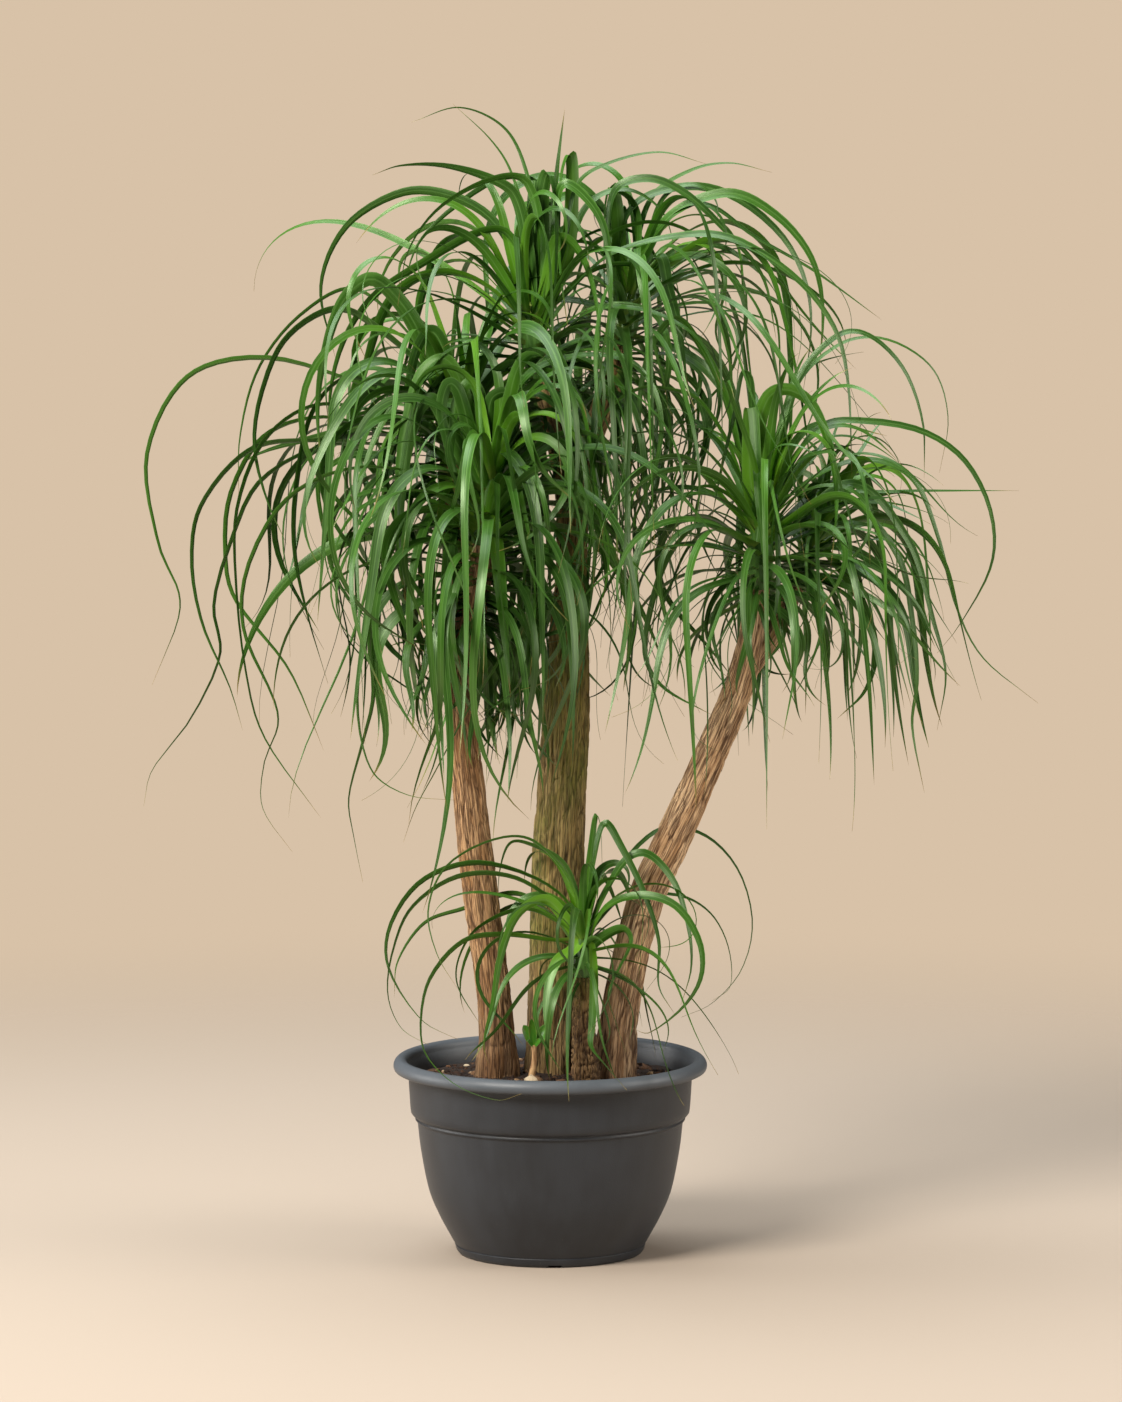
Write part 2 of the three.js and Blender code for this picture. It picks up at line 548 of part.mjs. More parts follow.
// Directions across a line that turn as little as possible on the way, starting from first.
function sideways(line, first) {
  const ahead = line.map((p, i) =>
    unit(add(line[Math.min(line.length - 1, i + 1)], line[Math.max(0, i - 1)], -1)),
  );
  let side = first;
  const sides = ahead.map((t) => {
    side = unit(add(side, t, -dot(side, t)));
    return side;
  });
  return { ahead, sides };
}

// Whether the patch a, b, c, d, seen from outside, bulges out when it is split from a to c.
function standsOut(a, b, c, d) {
  const face = cross(add(b, a, -1), add(c, a, -1));
  return dot(face, add(d, a, -1)) <= 0;
}

// Joins rings of equal size into one closed body. The last ring may be a single point. Each patch
// between two rings is split along the diagonal that stands out, so that the two faces of a thin
// twisted blade never pass through each other.
function skin(rings) {
  const vertices = rings.flat();
  const faces = [];
  const size = rings[0].length;
  for (let k = 1; k < rings.length; k++) {
    const low = (k - 1) * size;
    const high = k * size;
    for (let i = 0; i < size; i++) {
      const next = (i + 1) % size;
      const [a, b, c, d] = [low + i, low + next, high + next, high + i];
      if (rings[k].length === 1) {
        faces.push([a, b, high]);
      } else if (standsOut(vertices[a], vertices[b], vertices[c], vertices[d])) {
        faces.push([a, b, c], [a, c, d]);
      } else {
        faces.push([a, b, d], [b, c, d]);
      }
    }
  }
  for (let i = 2; i < size; i++) faces.push([0, i, i - 1]);
  const top = (rings.length - 1) * size;
  if (rings[rings.length - 1].length > 1) {
    for (let i = 2; i < size; i++) faces.push([top, top + i - 1, top + i]);
  }
  return geometryOf(vertices, faces);
}

// Where the rings of a leaf go: at equal shares of its length and its bending together.
function ringPlaces(ahead, steps) {
  const effort = [0];
  for (let i = 1; i < ahead.length; i++) {
    const bend = Math.min(0.1, lengthOf(add(ahead[i], ahead[i - 1], -1)) / 2.5);
    effort.push(effort[i - 1] + 1 / leafSamples + bend);
  }
  const places = [0];
  for (let k = 1; k < steps; k++) {
    const goal = (effort.at(-1) * k) / steps;
    places.push(Math.max(places[k - 1] + 1, effort.findIndex((value) => value >= goal)));
  }
  return [...places, leafSamples];
}

// The level a leaf arches about, so that it bends over its flat side and not over its edge.
function bendAxis(line) {
  const steps = line.slice(1).map((p, i) => unit(add(p, line[i], -1)));
  const axis = steps.slice(1).reduce((sum, step, i) => add(sum, cross(steps[i], step)), [0, 0, 0]);
  const reach = add(line[line.length - 1], line[0], -1);
  const level = unit([-reach[1] + 1e-6, reach[0], 0]);
  return unit(add(axis, level, 0.05));
}

// One strap leaf: a three-sided blade, flat above and keeled below, that narrows to a point.
// Fattened by spare all round, it tests for room beside it.
function bladeSolid({ line, width, turn, steps }, spare = 0) {
  const { ahead, sides } = sideways(line, bendAxis(line));
  const rings = ringPlaces(ahead, steps).map((at) => {
    const share = at / leafSamples;
    if (share === 1) return [line[at]];
    const roll = turn * Math.min(1, share * 2.5);
    const up = cross(ahead[at], sides[at]);
    const across = add(add([0, 0, 0], sides[at], Math.cos(roll)), up, Math.sin(roll));
    const normal = cross(ahead[at], across);
    const shape = Math.min(1, 0.72 + share * 2) * (1 - share) ** 0.75;
    const half = Math.max(0.9, (width / 2) * shape) + spare;
    const thick = mix([bladeThickness, tipThickness], share) + 2 * spare;
    return [
      add(add(line[at], across, -half), normal, thick / 2),
      add(line[at], normal, -thick / 2),
      add(add(line[at], across, half), normal, thick / 2),
    ];
  });
  return solidOf(skin(rings));
}

// The heart of a crown, where the leaf bases wrap round the growing tip.
function heartSolid(crown) {
  const { axis } = crown;
  const east = unit(cross([0, 1, 0], axis));
  const north = cross(axis, east);
  const outline = [[0, 0.86], [0.18, 1.02], [0.5, 0.9], [0.8, 0.55], [1, 0.2]];
  const rings = outline.map(([share, spread]) => {
    const centre = add(crown.at, axis, fitGap + share * crown.height);
    return Array.from({ length: 8 }, (_, i) => {
      const a = (i * Math.PI) / 4;
      const out = add(add([0, 0, 0], east, Math.cos(a)), north, Math.sin(a));
      return add(centre, out, crown.radius * spread);
    });
  });
  return solidOf(skin(rings));
}

// A trunk or branch with upright bark ridges, and root lobes where flare is given.
function limbSolid(path, sides, lobes, flare, grow = 0) {
  const line = path.map(([x, y, z]) => [x, y, z]);
  const { ahead, sides: across } = sideways(line, [1, 0, 0]);
  const rings = path.map(([x, y, z, radius], k) => {
    const other = cross(ahead[k], across[k]);
    const foot = Math.max(0, 1 - Math.abs(z - soilLevel) / 70);
    return Array.from({ length: sides }, (_, i) => {
      const a = (i * 2 * Math.PI) / sides;
      const ridge = i % 2 ? 1.035 : 0.965;
      const lobe = 1 + flare * foot * Math.cos(lobes * a + 0.8);
      const out = add(add([0, 0, 0], across[k], Math.cos(a)), other, Math.sin(a));
      return add([x, y, z], out, radius * ridge * lobe + grow);
    });
  });
  return solidOf(skin(rings));
}

function trunkSolid({ main, branches, sides, lobes, flare }) {
  return branches.reduce(
    (whole, branch) => whole.add(limbSolid(branch, Math.round(sides * 0.6), 0, 0)),
    limbSolid(main, sides, lobes, flare),
  );
}

// ---------- pot ----------
function latheAround(profile) {
  const points = profile.map(([radius, height]) => new THREE.Vector2(radius, height));
  return new THREE.LatheGeometry(points, potSegments).rotateX(Math.PI / 2);
}

function potSolid() {
  const profile = [[0, 0], ...potOutside, ...potInside, [0, potFloor]];
  let pot = solidOf(latheAround(profile));
  for (let i = 0; i < drainHole.count; i++) {
    const a = (i * 2 * Math.PI) / drainHole.count;
    const hole = new THREE.CylinderGeometry(drainHole.radius, drainHole.radius, potFloor * 4, drainHole.sides)
      .rotateX(Math.PI / 2)
      .translate(Math.cos(a) * drainHole.circle, Math.sin(a) * drainHole.circle, 0);
    pot = pot.subtract(solidOf(hole));
  }
  for (let i = 0; i < footSlot.count; i++) {
    const slot = new THREE.BoxGeometry(footSlot.width, footSlot.depth * 2, footSlot.height * 2)
      .translate(0, -footSlot.circle, 0)
      .rotateZ((i * 2 * Math.PI) / footSlot.count + footSlot.turn);
    pot = pot.subtract(solidOf(slot));
  }
  return pot;
}

// ---------- soil ----------
// Height of the crumbly surface: mounded at the trunks, low at the wall, with clods by formula.
function soilHeight(radius, angle) {
  const clods = Math.sin(radius * 0.19 + angle * 5) * Math.cos(angle * 3 + radius * 0.07);
  return soilLevel + soil.mound - radius * soil.slope + soil.clod * clods;
}

function soilSolid() {
  const ringAt = (radius, height) =>
    Array.from({ length: soil.around }, (_, i) => {
      const a = (i * 2 * Math.PI) / soil.around;
      return [radius * Math.cos(a), radius * Math.sin(a), height ?? soilHeight(radius, a)];
    });
  const buried = potInside.filter(([, height]) => height > potFloor && height < soilLevel - 8);
  const rings = [ringAt(potInside.at(-1)[0] - 2, potFloor + fitGap)];
  for (const [radius, height] of buried.reverse()) rings.push(ringAt(radius - soil.wallGap, height));
  for (const radius of soil.rings) rings.push(ringAt(radius));
  rings.push([[0, 0, soilHeight(0, 0)]]);
  let filling = solidOf(skin(rings));
  for (const { main, sides, lobes, flare } of Object.values(trunks)) {
    const [x, y, z, radius] = main[0];
    const below = [[x, y, z - fitGap, radius], ...main.slice(1, 3)];
    filling = filling.subtract(limbSolid(below, sides, lobes, flare, stemGap));
  }
  return filling.subtract(sproutStub(stemGap));
}

// ---------- side sprout: a pale stub with a tuft of short broad leaves ----------
const sprout = { x: -19, y: -62, foot: 172, top: 236, lean: 5, radius: 4.5 };
const tuft = { radius: 6, leaves: 6, reach: 26, width: 12, rise: [0.5, 1.3], bend: 1.5 };

function sproutStub(grow = 0) {
  const { x, y, foot, top, lean, radius } = sprout;
  const path = [
    [x - lean, y, foot - grow, radius + 2],
    [x - lean, y, soilLevel, radius + 1.5],
    [x, y, top - 20, radius],
    [x, y, top, radius],
  ];
  return limbSolid(path, 8, 0, 0, grow);
}

function sproutLeaves() {
  const middle = [sprout.x, sprout.y, sprout.top + fitGap + tuft.radius];
  const ball = new THREE.SphereGeometry(tuft.radius, 6, 4).rotateX(Math.PI / 2).translate(...middle);
  let whole = solidOf(ball);
  for (let i = 0; i < tuft.leaves; i++) {
    const heading = i * goldenAngle;
    const line = [middle];
    for (let k = 0; k < leafSamples; k++) {
      const pitch = mix(tuft.rise, i / tuft.leaves) - tuft.bend * (k / leafSamples) ** 2;
      const flat = Math.cos(pitch);
      const ahead = [flat * Math.cos(heading), flat * Math.sin(heading), Math.sin(pitch)];
      line.push(add(line[k], ahead, tuft.reach / leafSamples));
    }
    whole = whole.add(bladeSolid({ line, width: tuft.width, turn: 0, steps: bands.sprout }));
  }
  return whole;
}

// ---------- crowns as solids ----------
const overlaps = (a, b) => {
  const [p, q] = [a.boundingBox(), b.boundingBox()];
  const apart = [0, 1, 2].some((i) => p.max[i] < q.min[i] || q.max[i] < p.min[i]);
  return !apart && a.intersect(b).volume() > 0;
};

// The leaf as a blade that keeps clear of the others and joins the crown's own solid cleanly. It
// is shifted a little up, down, back or forth where it wouldn't, and left out where none helps.
const shifts = [[0, 0, 0]];
for (const far of [0.9, 1.8, 3]) {
  shifts.push([0, 0, far], [0, 0, -far], [0, 2 * far, 0], [0, -2 * far, 0]);
}

function freeBlade(leaf, own, others) {
  for (const shift of shifts) {
    const moved = { ...leaf, line: leaf.line.map((p) => add(p, shift)) };
    const roomy = bladeSolid(moved, fitGap);
    if (others.some((solid) => overlaps(roomy, solid))) continue;
    const blade = bladeSolid(moved);
    if (isClosed(own.add(blade))) return blade;
  }
  return null;
}

function crownSolids(fixed) {
  const hearts = Object.entries(crowns).map(([name, crown]) => ({ name, solid: heartSolid(crown) }));
  const kept = [...hearts];
  const whole = {};
  for (const [name, leaves] of Object.entries(growLeaves())) {
    whole[name] = hearts.find((heart) => heart.name === name).solid;
    const others = () => kept.filter((piece) => piece.name !== name).map(({ solid }) => solid);
    for (const leaf of leaves.filter(({ clear }) => clear)) {
      const blade = freeBlade(leaf, whole[name], [...fixed, ...others()]);
      if (!blade) continue;
      kept.push({ name, solid: blade });
      whole[name] = whole[name].add(blade);
    }
  }
  return whole;
}

// ---------- materials and assembly ----------
const material = (color, roughness, metalness = 0) =>
  new THREE.MeshStandardMaterial({ color, roughness, metalness });

const finishes = {
  pot: material(0x3b3d40, 0.5),
  soil: material(0x2b1d15, 0.95),
  bark: material(0x8a6544, 0.9),
  leaf: material(0x2f6b23, 0.42),
  youngLeaf: material(0x4b8c2a, 0.42),
  stub: material(0xb98f5c, 0.8),
};

const plant = new THREE.Group();

function place(name, solid, finish) {
  const mesh = new THREE.Mesh(geometryFrom(wholeBody(solid)), finish);
  mesh.name = name;
  plant.add(mesh);
}

place("pot", potSolid(), finishes.pot);
place("soil", soilSolid(), finishes.soil);
const woody = Object.values(trunks).map(trunkSolid);
Object.keys(trunks).forEach((name, i) => place(name, woody[i], finishes.bark));
place("sprout_stub", sproutStub(), finishes.stub);
place("sprout_leaves", sproutLeaves(), finishes.youngLeaf);
for (const [name, solid] of Object.entries(crownSolids([...woody, sproutStub(), sproutLeaves()]))) {
  place(name, solid, finishes.leaf);
}

export default plant;
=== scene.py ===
# A potted ponytail palm: a dark plastic pot, soil, three bark-covered trunks that fork into six
# mops of long strap leaves, a young offset and a small side sprout.
# Shapes are worked out in millimetres and put into the meshes in metres.
import math

import bpy
import numpy as np
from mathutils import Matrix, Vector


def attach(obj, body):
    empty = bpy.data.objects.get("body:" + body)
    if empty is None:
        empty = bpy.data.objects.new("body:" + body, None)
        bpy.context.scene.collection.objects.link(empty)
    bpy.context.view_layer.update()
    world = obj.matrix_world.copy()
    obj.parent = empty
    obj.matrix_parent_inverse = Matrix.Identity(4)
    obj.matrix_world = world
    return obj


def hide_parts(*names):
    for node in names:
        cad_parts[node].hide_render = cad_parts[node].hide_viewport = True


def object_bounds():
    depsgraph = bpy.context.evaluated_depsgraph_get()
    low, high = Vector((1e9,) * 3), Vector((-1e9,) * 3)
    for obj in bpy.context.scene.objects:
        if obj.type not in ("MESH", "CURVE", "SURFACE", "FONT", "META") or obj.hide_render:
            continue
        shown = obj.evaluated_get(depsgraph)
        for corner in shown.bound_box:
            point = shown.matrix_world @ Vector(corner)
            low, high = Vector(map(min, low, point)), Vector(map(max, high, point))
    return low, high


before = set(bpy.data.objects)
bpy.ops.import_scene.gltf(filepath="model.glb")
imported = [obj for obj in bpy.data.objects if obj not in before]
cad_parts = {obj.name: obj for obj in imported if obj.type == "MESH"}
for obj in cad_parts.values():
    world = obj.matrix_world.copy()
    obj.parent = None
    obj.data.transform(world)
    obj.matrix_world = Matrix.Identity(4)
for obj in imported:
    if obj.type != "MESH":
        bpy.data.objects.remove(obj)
cadLow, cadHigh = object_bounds()
millimetre = 0.001
print("frame loaded:", len(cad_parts), "nodes")


# vectors and noise, always on whole arrays
def dot(a, b):
    return (a * b).sum(axis=-1, keepdims=True)


def unit(a):
    return a / np.maximum(np.linalg.norm(a, axis=-1, keepdims=True), 1e-9)


def mix(low, high, share):
    return low + (high - low) * share


def easeIn(share):
    # 3s squared minus 2s cubed, held between 0 and 1
    s = np.clip(share, 0, 1)
    return s * s * (3 - 2 * s)


def turns(around):
    # angles in equal steps, once round
    return np.arange(around) * 2 * math.pi / around


def onCircle(radius, angle, z):
    # points this far from the axis, at this angle and height
    return np.stack(np.broadcast_arrays(radius * np.cos(angle), radius * np.sin(angle), z), axis=-1)


def towards(pitch, yaw):
    # the directions that climb by pitch and head by yaw
    return onCircle(np.cos(pitch), yaw, np.sin(pitch))


def walked(start, ahead, step):
    # the start, and where each step from there leads
    return np.vstack([start, start + np.cumsum(unit(ahead) * step, axis=0)])


def lengthOf(line):
    return np.linalg.norm(np.diff(line, axis=-2), axis=-1).sum(axis=-1)


def travelledAlong(line):
    # how far along a line each of its points is
    return np.r_[0, np.cumsum(np.linalg.norm(np.diff(line, axis=0), axis=1))]


def swing(draw, width):
    # a random number round 0, in a band of this width
    return (draw() - 0.5) * width


def randomFrom(seed):
    # a small mixing generator: the same seed draws the same numbers every time
    state, wrap = seed, 0xFFFFFFFF

    def draw():
        nonlocal state
        state = (state + 0x6D2B79F5) & wrap
        mixed = ((state ^ (state >> 15)) * (state | 1)) & wrap
        mixed = ((mixed + ((mixed ^ (mixed >> 7)) * (mixed | 61))) & wrap) ^ mixed
        return (mixed ^ (mixed >> 14)) / 4294967296

    return draw


def waves(around, along, columns, seed):
    # random heights on a lattice that closes round the trunk, joined smoothly: 0 to 1
    u, v = around * columns, along - along.min()
    lattice = np.random.RandomState(seed).rand(int(v.max()) + 3, columns)
    i, j = np.floor(u).astype(int), np.floor(v).astype(int)
    s, t = easeIn(u - i), easeIn(v - j)
    low = mix(lattice[j, i % columns], lattice[j, (i + 1) % columns], s)
    high = mix(lattice[j + 1, i % columns], lattice[j + 1, (i + 1) % columns], s)
    return mix(low, high, t)


def plates(around, along, columns, seed):
    # cells round scattered centres: how far the nearest border is, and a number for each cell
    u, v = around * columns, along - along.min() + 2
    places = np.random.RandomState(seed).rand(int(v.max()) + 4, columns, 3)
    i, j = np.floor(u).astype(int), np.floor(v).astype(int)
    nearest = np.full(u.shape, 9.0)
    second = np.full(u.shape, 9.0)
    number = np.zeros(u.shape)
    for di in (-1, 0, 1):
        for dj in (-1, 0, 1):
            jitter = places[j + dj, (i + di) % columns]
            away = np.hypot(u - i - di - jitter[..., 0], v - j - dj - jitter[..., 1])
            closer = away < nearest
            second = np.where(closer, nearest, np.minimum(second, away))
            number = np.where(closer, jitter[..., 2], number)
            nearest = np.where(closer, away, nearest)
    return second - nearest, number


def evenly(line, samples):
    # the same line, given back at equal steps of its length
    travelled = travelledAlong(line)
    goals = np.linspace(0, travelled[-1], samples + 1)
    return np.stack([np.interp(goals, travelled, part) for part in line.T], axis=1)


def smoothLine(points, samples):
    # cubic pieces between the points, with knots spaced by the square root of each chord
    points = np.array(points, float)
    count, pieces = len(points), 16
    chords = np.linalg.norm(np.diff(points[:, :3], axis=0), axis=1)
    knots = np.r_[0, np.cumsum(np.sqrt(chords))]
    before, after = np.maximum(np.arange(count) - 1, 0), np.minimum(np.arange(count) + 1, count - 1)
    tangents = (points[after] - points[before]) / (knots[after] - knots[before])[:, None]
    s = (np.arange(pieces) / pieces)[None, :, None]
    span = np.diff(knots)[:, None, None]
    fine = (
        (2 * s**3 - 3 * s**2 + 1) * points[:-1, None]
        + (s**3 - 2 * s**2 + s) * span * tangents[:-1, None]
        + (3 * s**2 - 2 * s**3) * points[1:, None]
        + (s**3 - s**2) * span * tangents[1:, None]
    )
    fine = np.vstack([fine.reshape(-1, points.shape[1]), points[-1:]])
    return evenly(fine, samples)


def furrows(around, along, columns, length, seed):
    # how far a stretched noise is from its middle level: 0 along wavy lines that meet and part
    coarse = waves(around, along / length, columns, seed)
    fine = waves(around, along / length * 2.3, columns * 2, seed + 50)
    return np.abs(coarse * 0.65 + fine * 0.35 - 0.5) * 2


# a piece is joined from patches of points and faces
def patch(points, faces, **values):
    return {"points": points.reshape(-1, 3), "faces": faces, "values": values}


def tubeFaces(rings, around, copies=1):
    # quads between neighbouring rings, and a fan over each end to a middle point put after the rings
    k, i = np.meshgrid(np.arange(rings - 1), np.arange(around), indexing="ij")
    nextI = (i + 1) % around
    quads = np.stack([k * around + i, k * around + nextI, (k + 1) * around + nextI, (k + 1) * around + i], -1)
    i, nextI = np.arange(around), (np.arange(around) + 1) % around
    top = (rings - 1) * around
    foot = np.stack([nextI, i, np.full(around, rings * around)], -1)
    head = np.stack([top + i, top + nextI, np.full(around, rings * around + 1)], -1)
    step = np.arange(copies)[:, None, None] * (rings * around + 2)
    quads = (quads.reshape(1, -1, 4) + step).reshape(-1, 4)
    ends = (np.vstack([foot, head])[None] + step).reshape(-1, 3)
    return [quads, ends]


def putPiece(name, patches, finish, node, sharper=None):
    # joins the patches, writes them into a mesh and stands it for its node
    counts = [len(part["points"]) for part in patches]
    points = np.vstack([part["points"] for part in patches]) * millimetre
    starts = np.cumsum([0] + counts)
    groups = [faces + start for part, start in zip(patches, starts) for faces in part["faces"]]
    corners = np.concatenate([faces.ravel() for faces in groups])
    sizes = np.concatenate([np.full(len(faces), faces.shape[1]) for faces in groups])
    mesh = bpy.data.meshes.new(name)
    mesh.vertices.add(len(points))
    mesh.vertices.foreach_set("co", points.astype(np.float32).ravel())
    mesh.loops.add(len(corners))
    mesh.loops.foreach_set("vertex_index", corners.astype(np.int32))
    mesh.polygons.add(len(sizes))
    mesh.polygons.foreach_set("loop_start", (np.cumsum(sizes) - sizes).astype(np.int32))
    mesh.update(calc_edges=True)
    mesh.polygons.foreach_set("use_smooth", np.ones(len(sizes), bool))
    for key in sorted({key for part in patches for key in part["values"]}):
        width, kind, field = (3, "FLOAT_VECTOR", "vector") if key == "flow" else (1, "FLOAT", "value")
        values = [np.asarray(part["values"][key], float).reshape(-1, width) for part in patches]
        rows = [np.broadcast_to(value, (count, width)) for value, count in zip(values, counts)]
        layer = mesh.attributes.new(key, kind, "POINT")
        layer.data.foreach_set(field, np.vstack(rows).astype(np.float32).ravel())
    if sharper:
        mesh.set_sharp_from_angle(angle=math.radians(sharper))
    mesh.materials.append(finish)
    piece = bpy.data.objects.new(name, mesh)
    bpy.context.scene.collection.objects.link(piece)
    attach(piece, "root")
    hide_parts(node)
    return piece


class Wire:
    # one value in a material; Python's operators on it add Math nodes
    def __init__(self, finish, socket):
        self.finish, self.socket = finish, socket

    def math(self, operation, *values):
        return self.finish.node("ShaderNodeMath", {"operation": operation}, dict(enumerate(values)))

    def __add__(self, other):
        return self.math("ADD", self, other)

    def __mul__(self, other):
        return self.math("MULTIPLY", self, other)

    def __sub__(self, other):
        return self.math("SUBTRACT", self, other)

    def __rsub__(self, other):
        return self.math("SUBTRACT", other, self)

    def __abs__(self):
        return self.math("ABSOLUTE", self)

    def rise(self, low, high):
        # 0 below low, 1 above high and smooth between them
        sockets = {"Value": self, "From Min": low, "From Max": high}
        return self.finish.node("ShaderNodeMapRange", {"interpolation_type": "SMOOTHSTEP"}, sockets)


class Finish:
    # a material under way: constants go straight on the shader, and what varies is linked
    def __init__(self, name, **constants):
        self.material = bpy.data.materials.new(name)
        self.material.use_nodes = True
        self.nodes, self.links = self.material.node_tree.nodes, self.material.node_tree.links
        self.shader = self.nodes["Principled BSDF"]
        for key, value in constants.items():
            self.shader.inputs[key.replace("_", " ")].default_value = value

    def node(self, kind, settings=None, sockets=None, output=0):
        made = self.nodes.new(kind)
        for key, value in (settings or {}).items():
            if key == "stops":
                self.setStops(made.color_ramp, value)
            else:
                setattr(made, key, value)
        for key, value in (sockets or {}).items():
            if isinstance(value, Wire):
                self.links.new(value.socket, made.inputs[key])
            else:
                made.inputs[key].default_value = value
        return Wire(self, made.outputs[output])

    def setStops(self, ramp, stops):
        while len(ramp.elements) < len(stops):
            ramp.elements.new(0.5)
        for element, (place, colour) in zip(ramp.elements, stops):
            element.position, element.color = place, shade(colour)

    def value(self, name):
        return self.node("ShaderNodeAttribute", {"attribute_name": name}, output="Fac")

    def flow(self, *stretch):
        # the place along and across the surface, stretched
        place = self.node("ShaderNodeAttribute", {"attribute_name": "flow"}, output="Vector")
        return self.node("ShaderNodeVectorMath", {"operation": "MULTIPLY"}, {0: place, 1: stretch})

    def place(self, *stretch):
        place = self.node("ShaderNodeTexCoord", output="Object")
        return self.node("ShaderNodeVectorMath", {"operation": "MULTIPLY"}, {0: place, 1: stretch})

    def height(self):
        # metres above the floor
        return self.node("ShaderNodeSeparateXYZ", None, {0: self.place(1, 1, 1)}, output=2)

    def noise(self, place, detail=3):
        sockets = {"Vector": place, "Scale": 1.0, "Detail": detail, "Roughness": 0.55}
        return self.node("ShaderNodeTexNoise", None, sockets)

    def mixed(self, share, first, second):
        sockets = {0: share, 6: first if isinstance(first, Wire) else shade(first),
                   7: second if isinstance(second, Wire) else shade(second)}
        return self.node("ShaderNodeMix", {"data_type": "RGBA"}, sockets, output=2)

    def ramp(self, share, stops):
        return self.node("ShaderNodeValToRGB", {"stops": stops}, {0: share})

    def bump(self, height, distance):
        return self.node("ShaderNodeBump", None, {"Height": height, "Distance": distance})

    def feed(self, **wires):
        for key, wire in wires.items():
            self.links.new(wire.socket, self.shader.inputs[key.replace("_", " ")])
        return self.material


def shade(colour):
    # "rrggbb" as shown on a screen, turned into linear light
    parts = np.array([int(colour[i:i + 2], 16) for i in (0, 2, 4)]) / 255
    return (*np.where(parts <= 0.04045, parts / 12.92, ((parts + 0.055) / 1.055) ** 2.4), 1.0)


# the plant's plan: stations of x, y, z and radius, as the solids have them
soilLevel = 195
eye = {"x": 12, "distance": 8000, "height": 1510}  # where the photo was taken from

trunks = {
    "trunk_left": {
        "lobes": 4, "flare": 0.12,
        "main": [
            [-61, 6, 120, 21], [-60, 6, 200, 23], [-60, 6, 240, 19.5], [-64, 4, 300, 19.5],
            [-77, -2, 400, 20], [-88, -12, 500, 18.5], [-98, -22, 600, 16.5], [-94, -32, 665, 15],
            [-82, -45, 735, 13], [-73, -55, 800, 12],
        ],
        "branches": [
            [[-95, -26, 630, 11], [-104, -8, 700, 12.5], [-107, 12, 790, 12], [-101, 25, 880, 12]],
        ],
    },
    "trunk_centre": {
        "lobes": 5, "flare": 0.1,
        "main": [
            [6, 32, 120, 31], [5, 32, 200, 35], [5, 32, 250, 31], [7, 32, 330, 29], [9, 33, 430, 29],
            [12, 34, 500, 28], [18, 36, 600, 26.5], [21, 38, 690, 22], [23, 40, 750, 18],
            [22, 42, 850, 16], [6, 42, 920, 13.5], [-8, 38, 975, 13],
        ],
        "branches": [
            [[22, 43, 815, 12], [38, 56, 880, 13], [62, 70, 950, 13], [77, 76, 1010, 12.5]],
        ],
    },
    "trunk_right": {
        "lobes": 4, "flare": 0.12,
        "main": [
            [68, -8, 120, 22], [70, -8, 200, 25], [75, -8, 250, 21.5], [85, -7, 310, 20.5],
            [107, -6, 400, 20], [129, -6, 450, 19.5], [152, -7, 500, 19], [195, -10, 600, 17.5],
            [213, -16, 650, 16], [224, -27, 705, 13.5], [228, -34, 750, 13],
        ],
        "branches": [
            [[210, -14, 640, 11], [238, -2, 682, 12], [258, 12, 712, 11.5], [272, 22, 745, 11]],
        ],
    },
    "offset_stem": {
        "lobes": 3, "flare": 0.2,
        "main": [[38, -48, 130, 13], [38, -48, 200, 15], [37, -49, 250, 12.5], [37, -50, 318, 11.5]],
        "branches": [],
    },
}

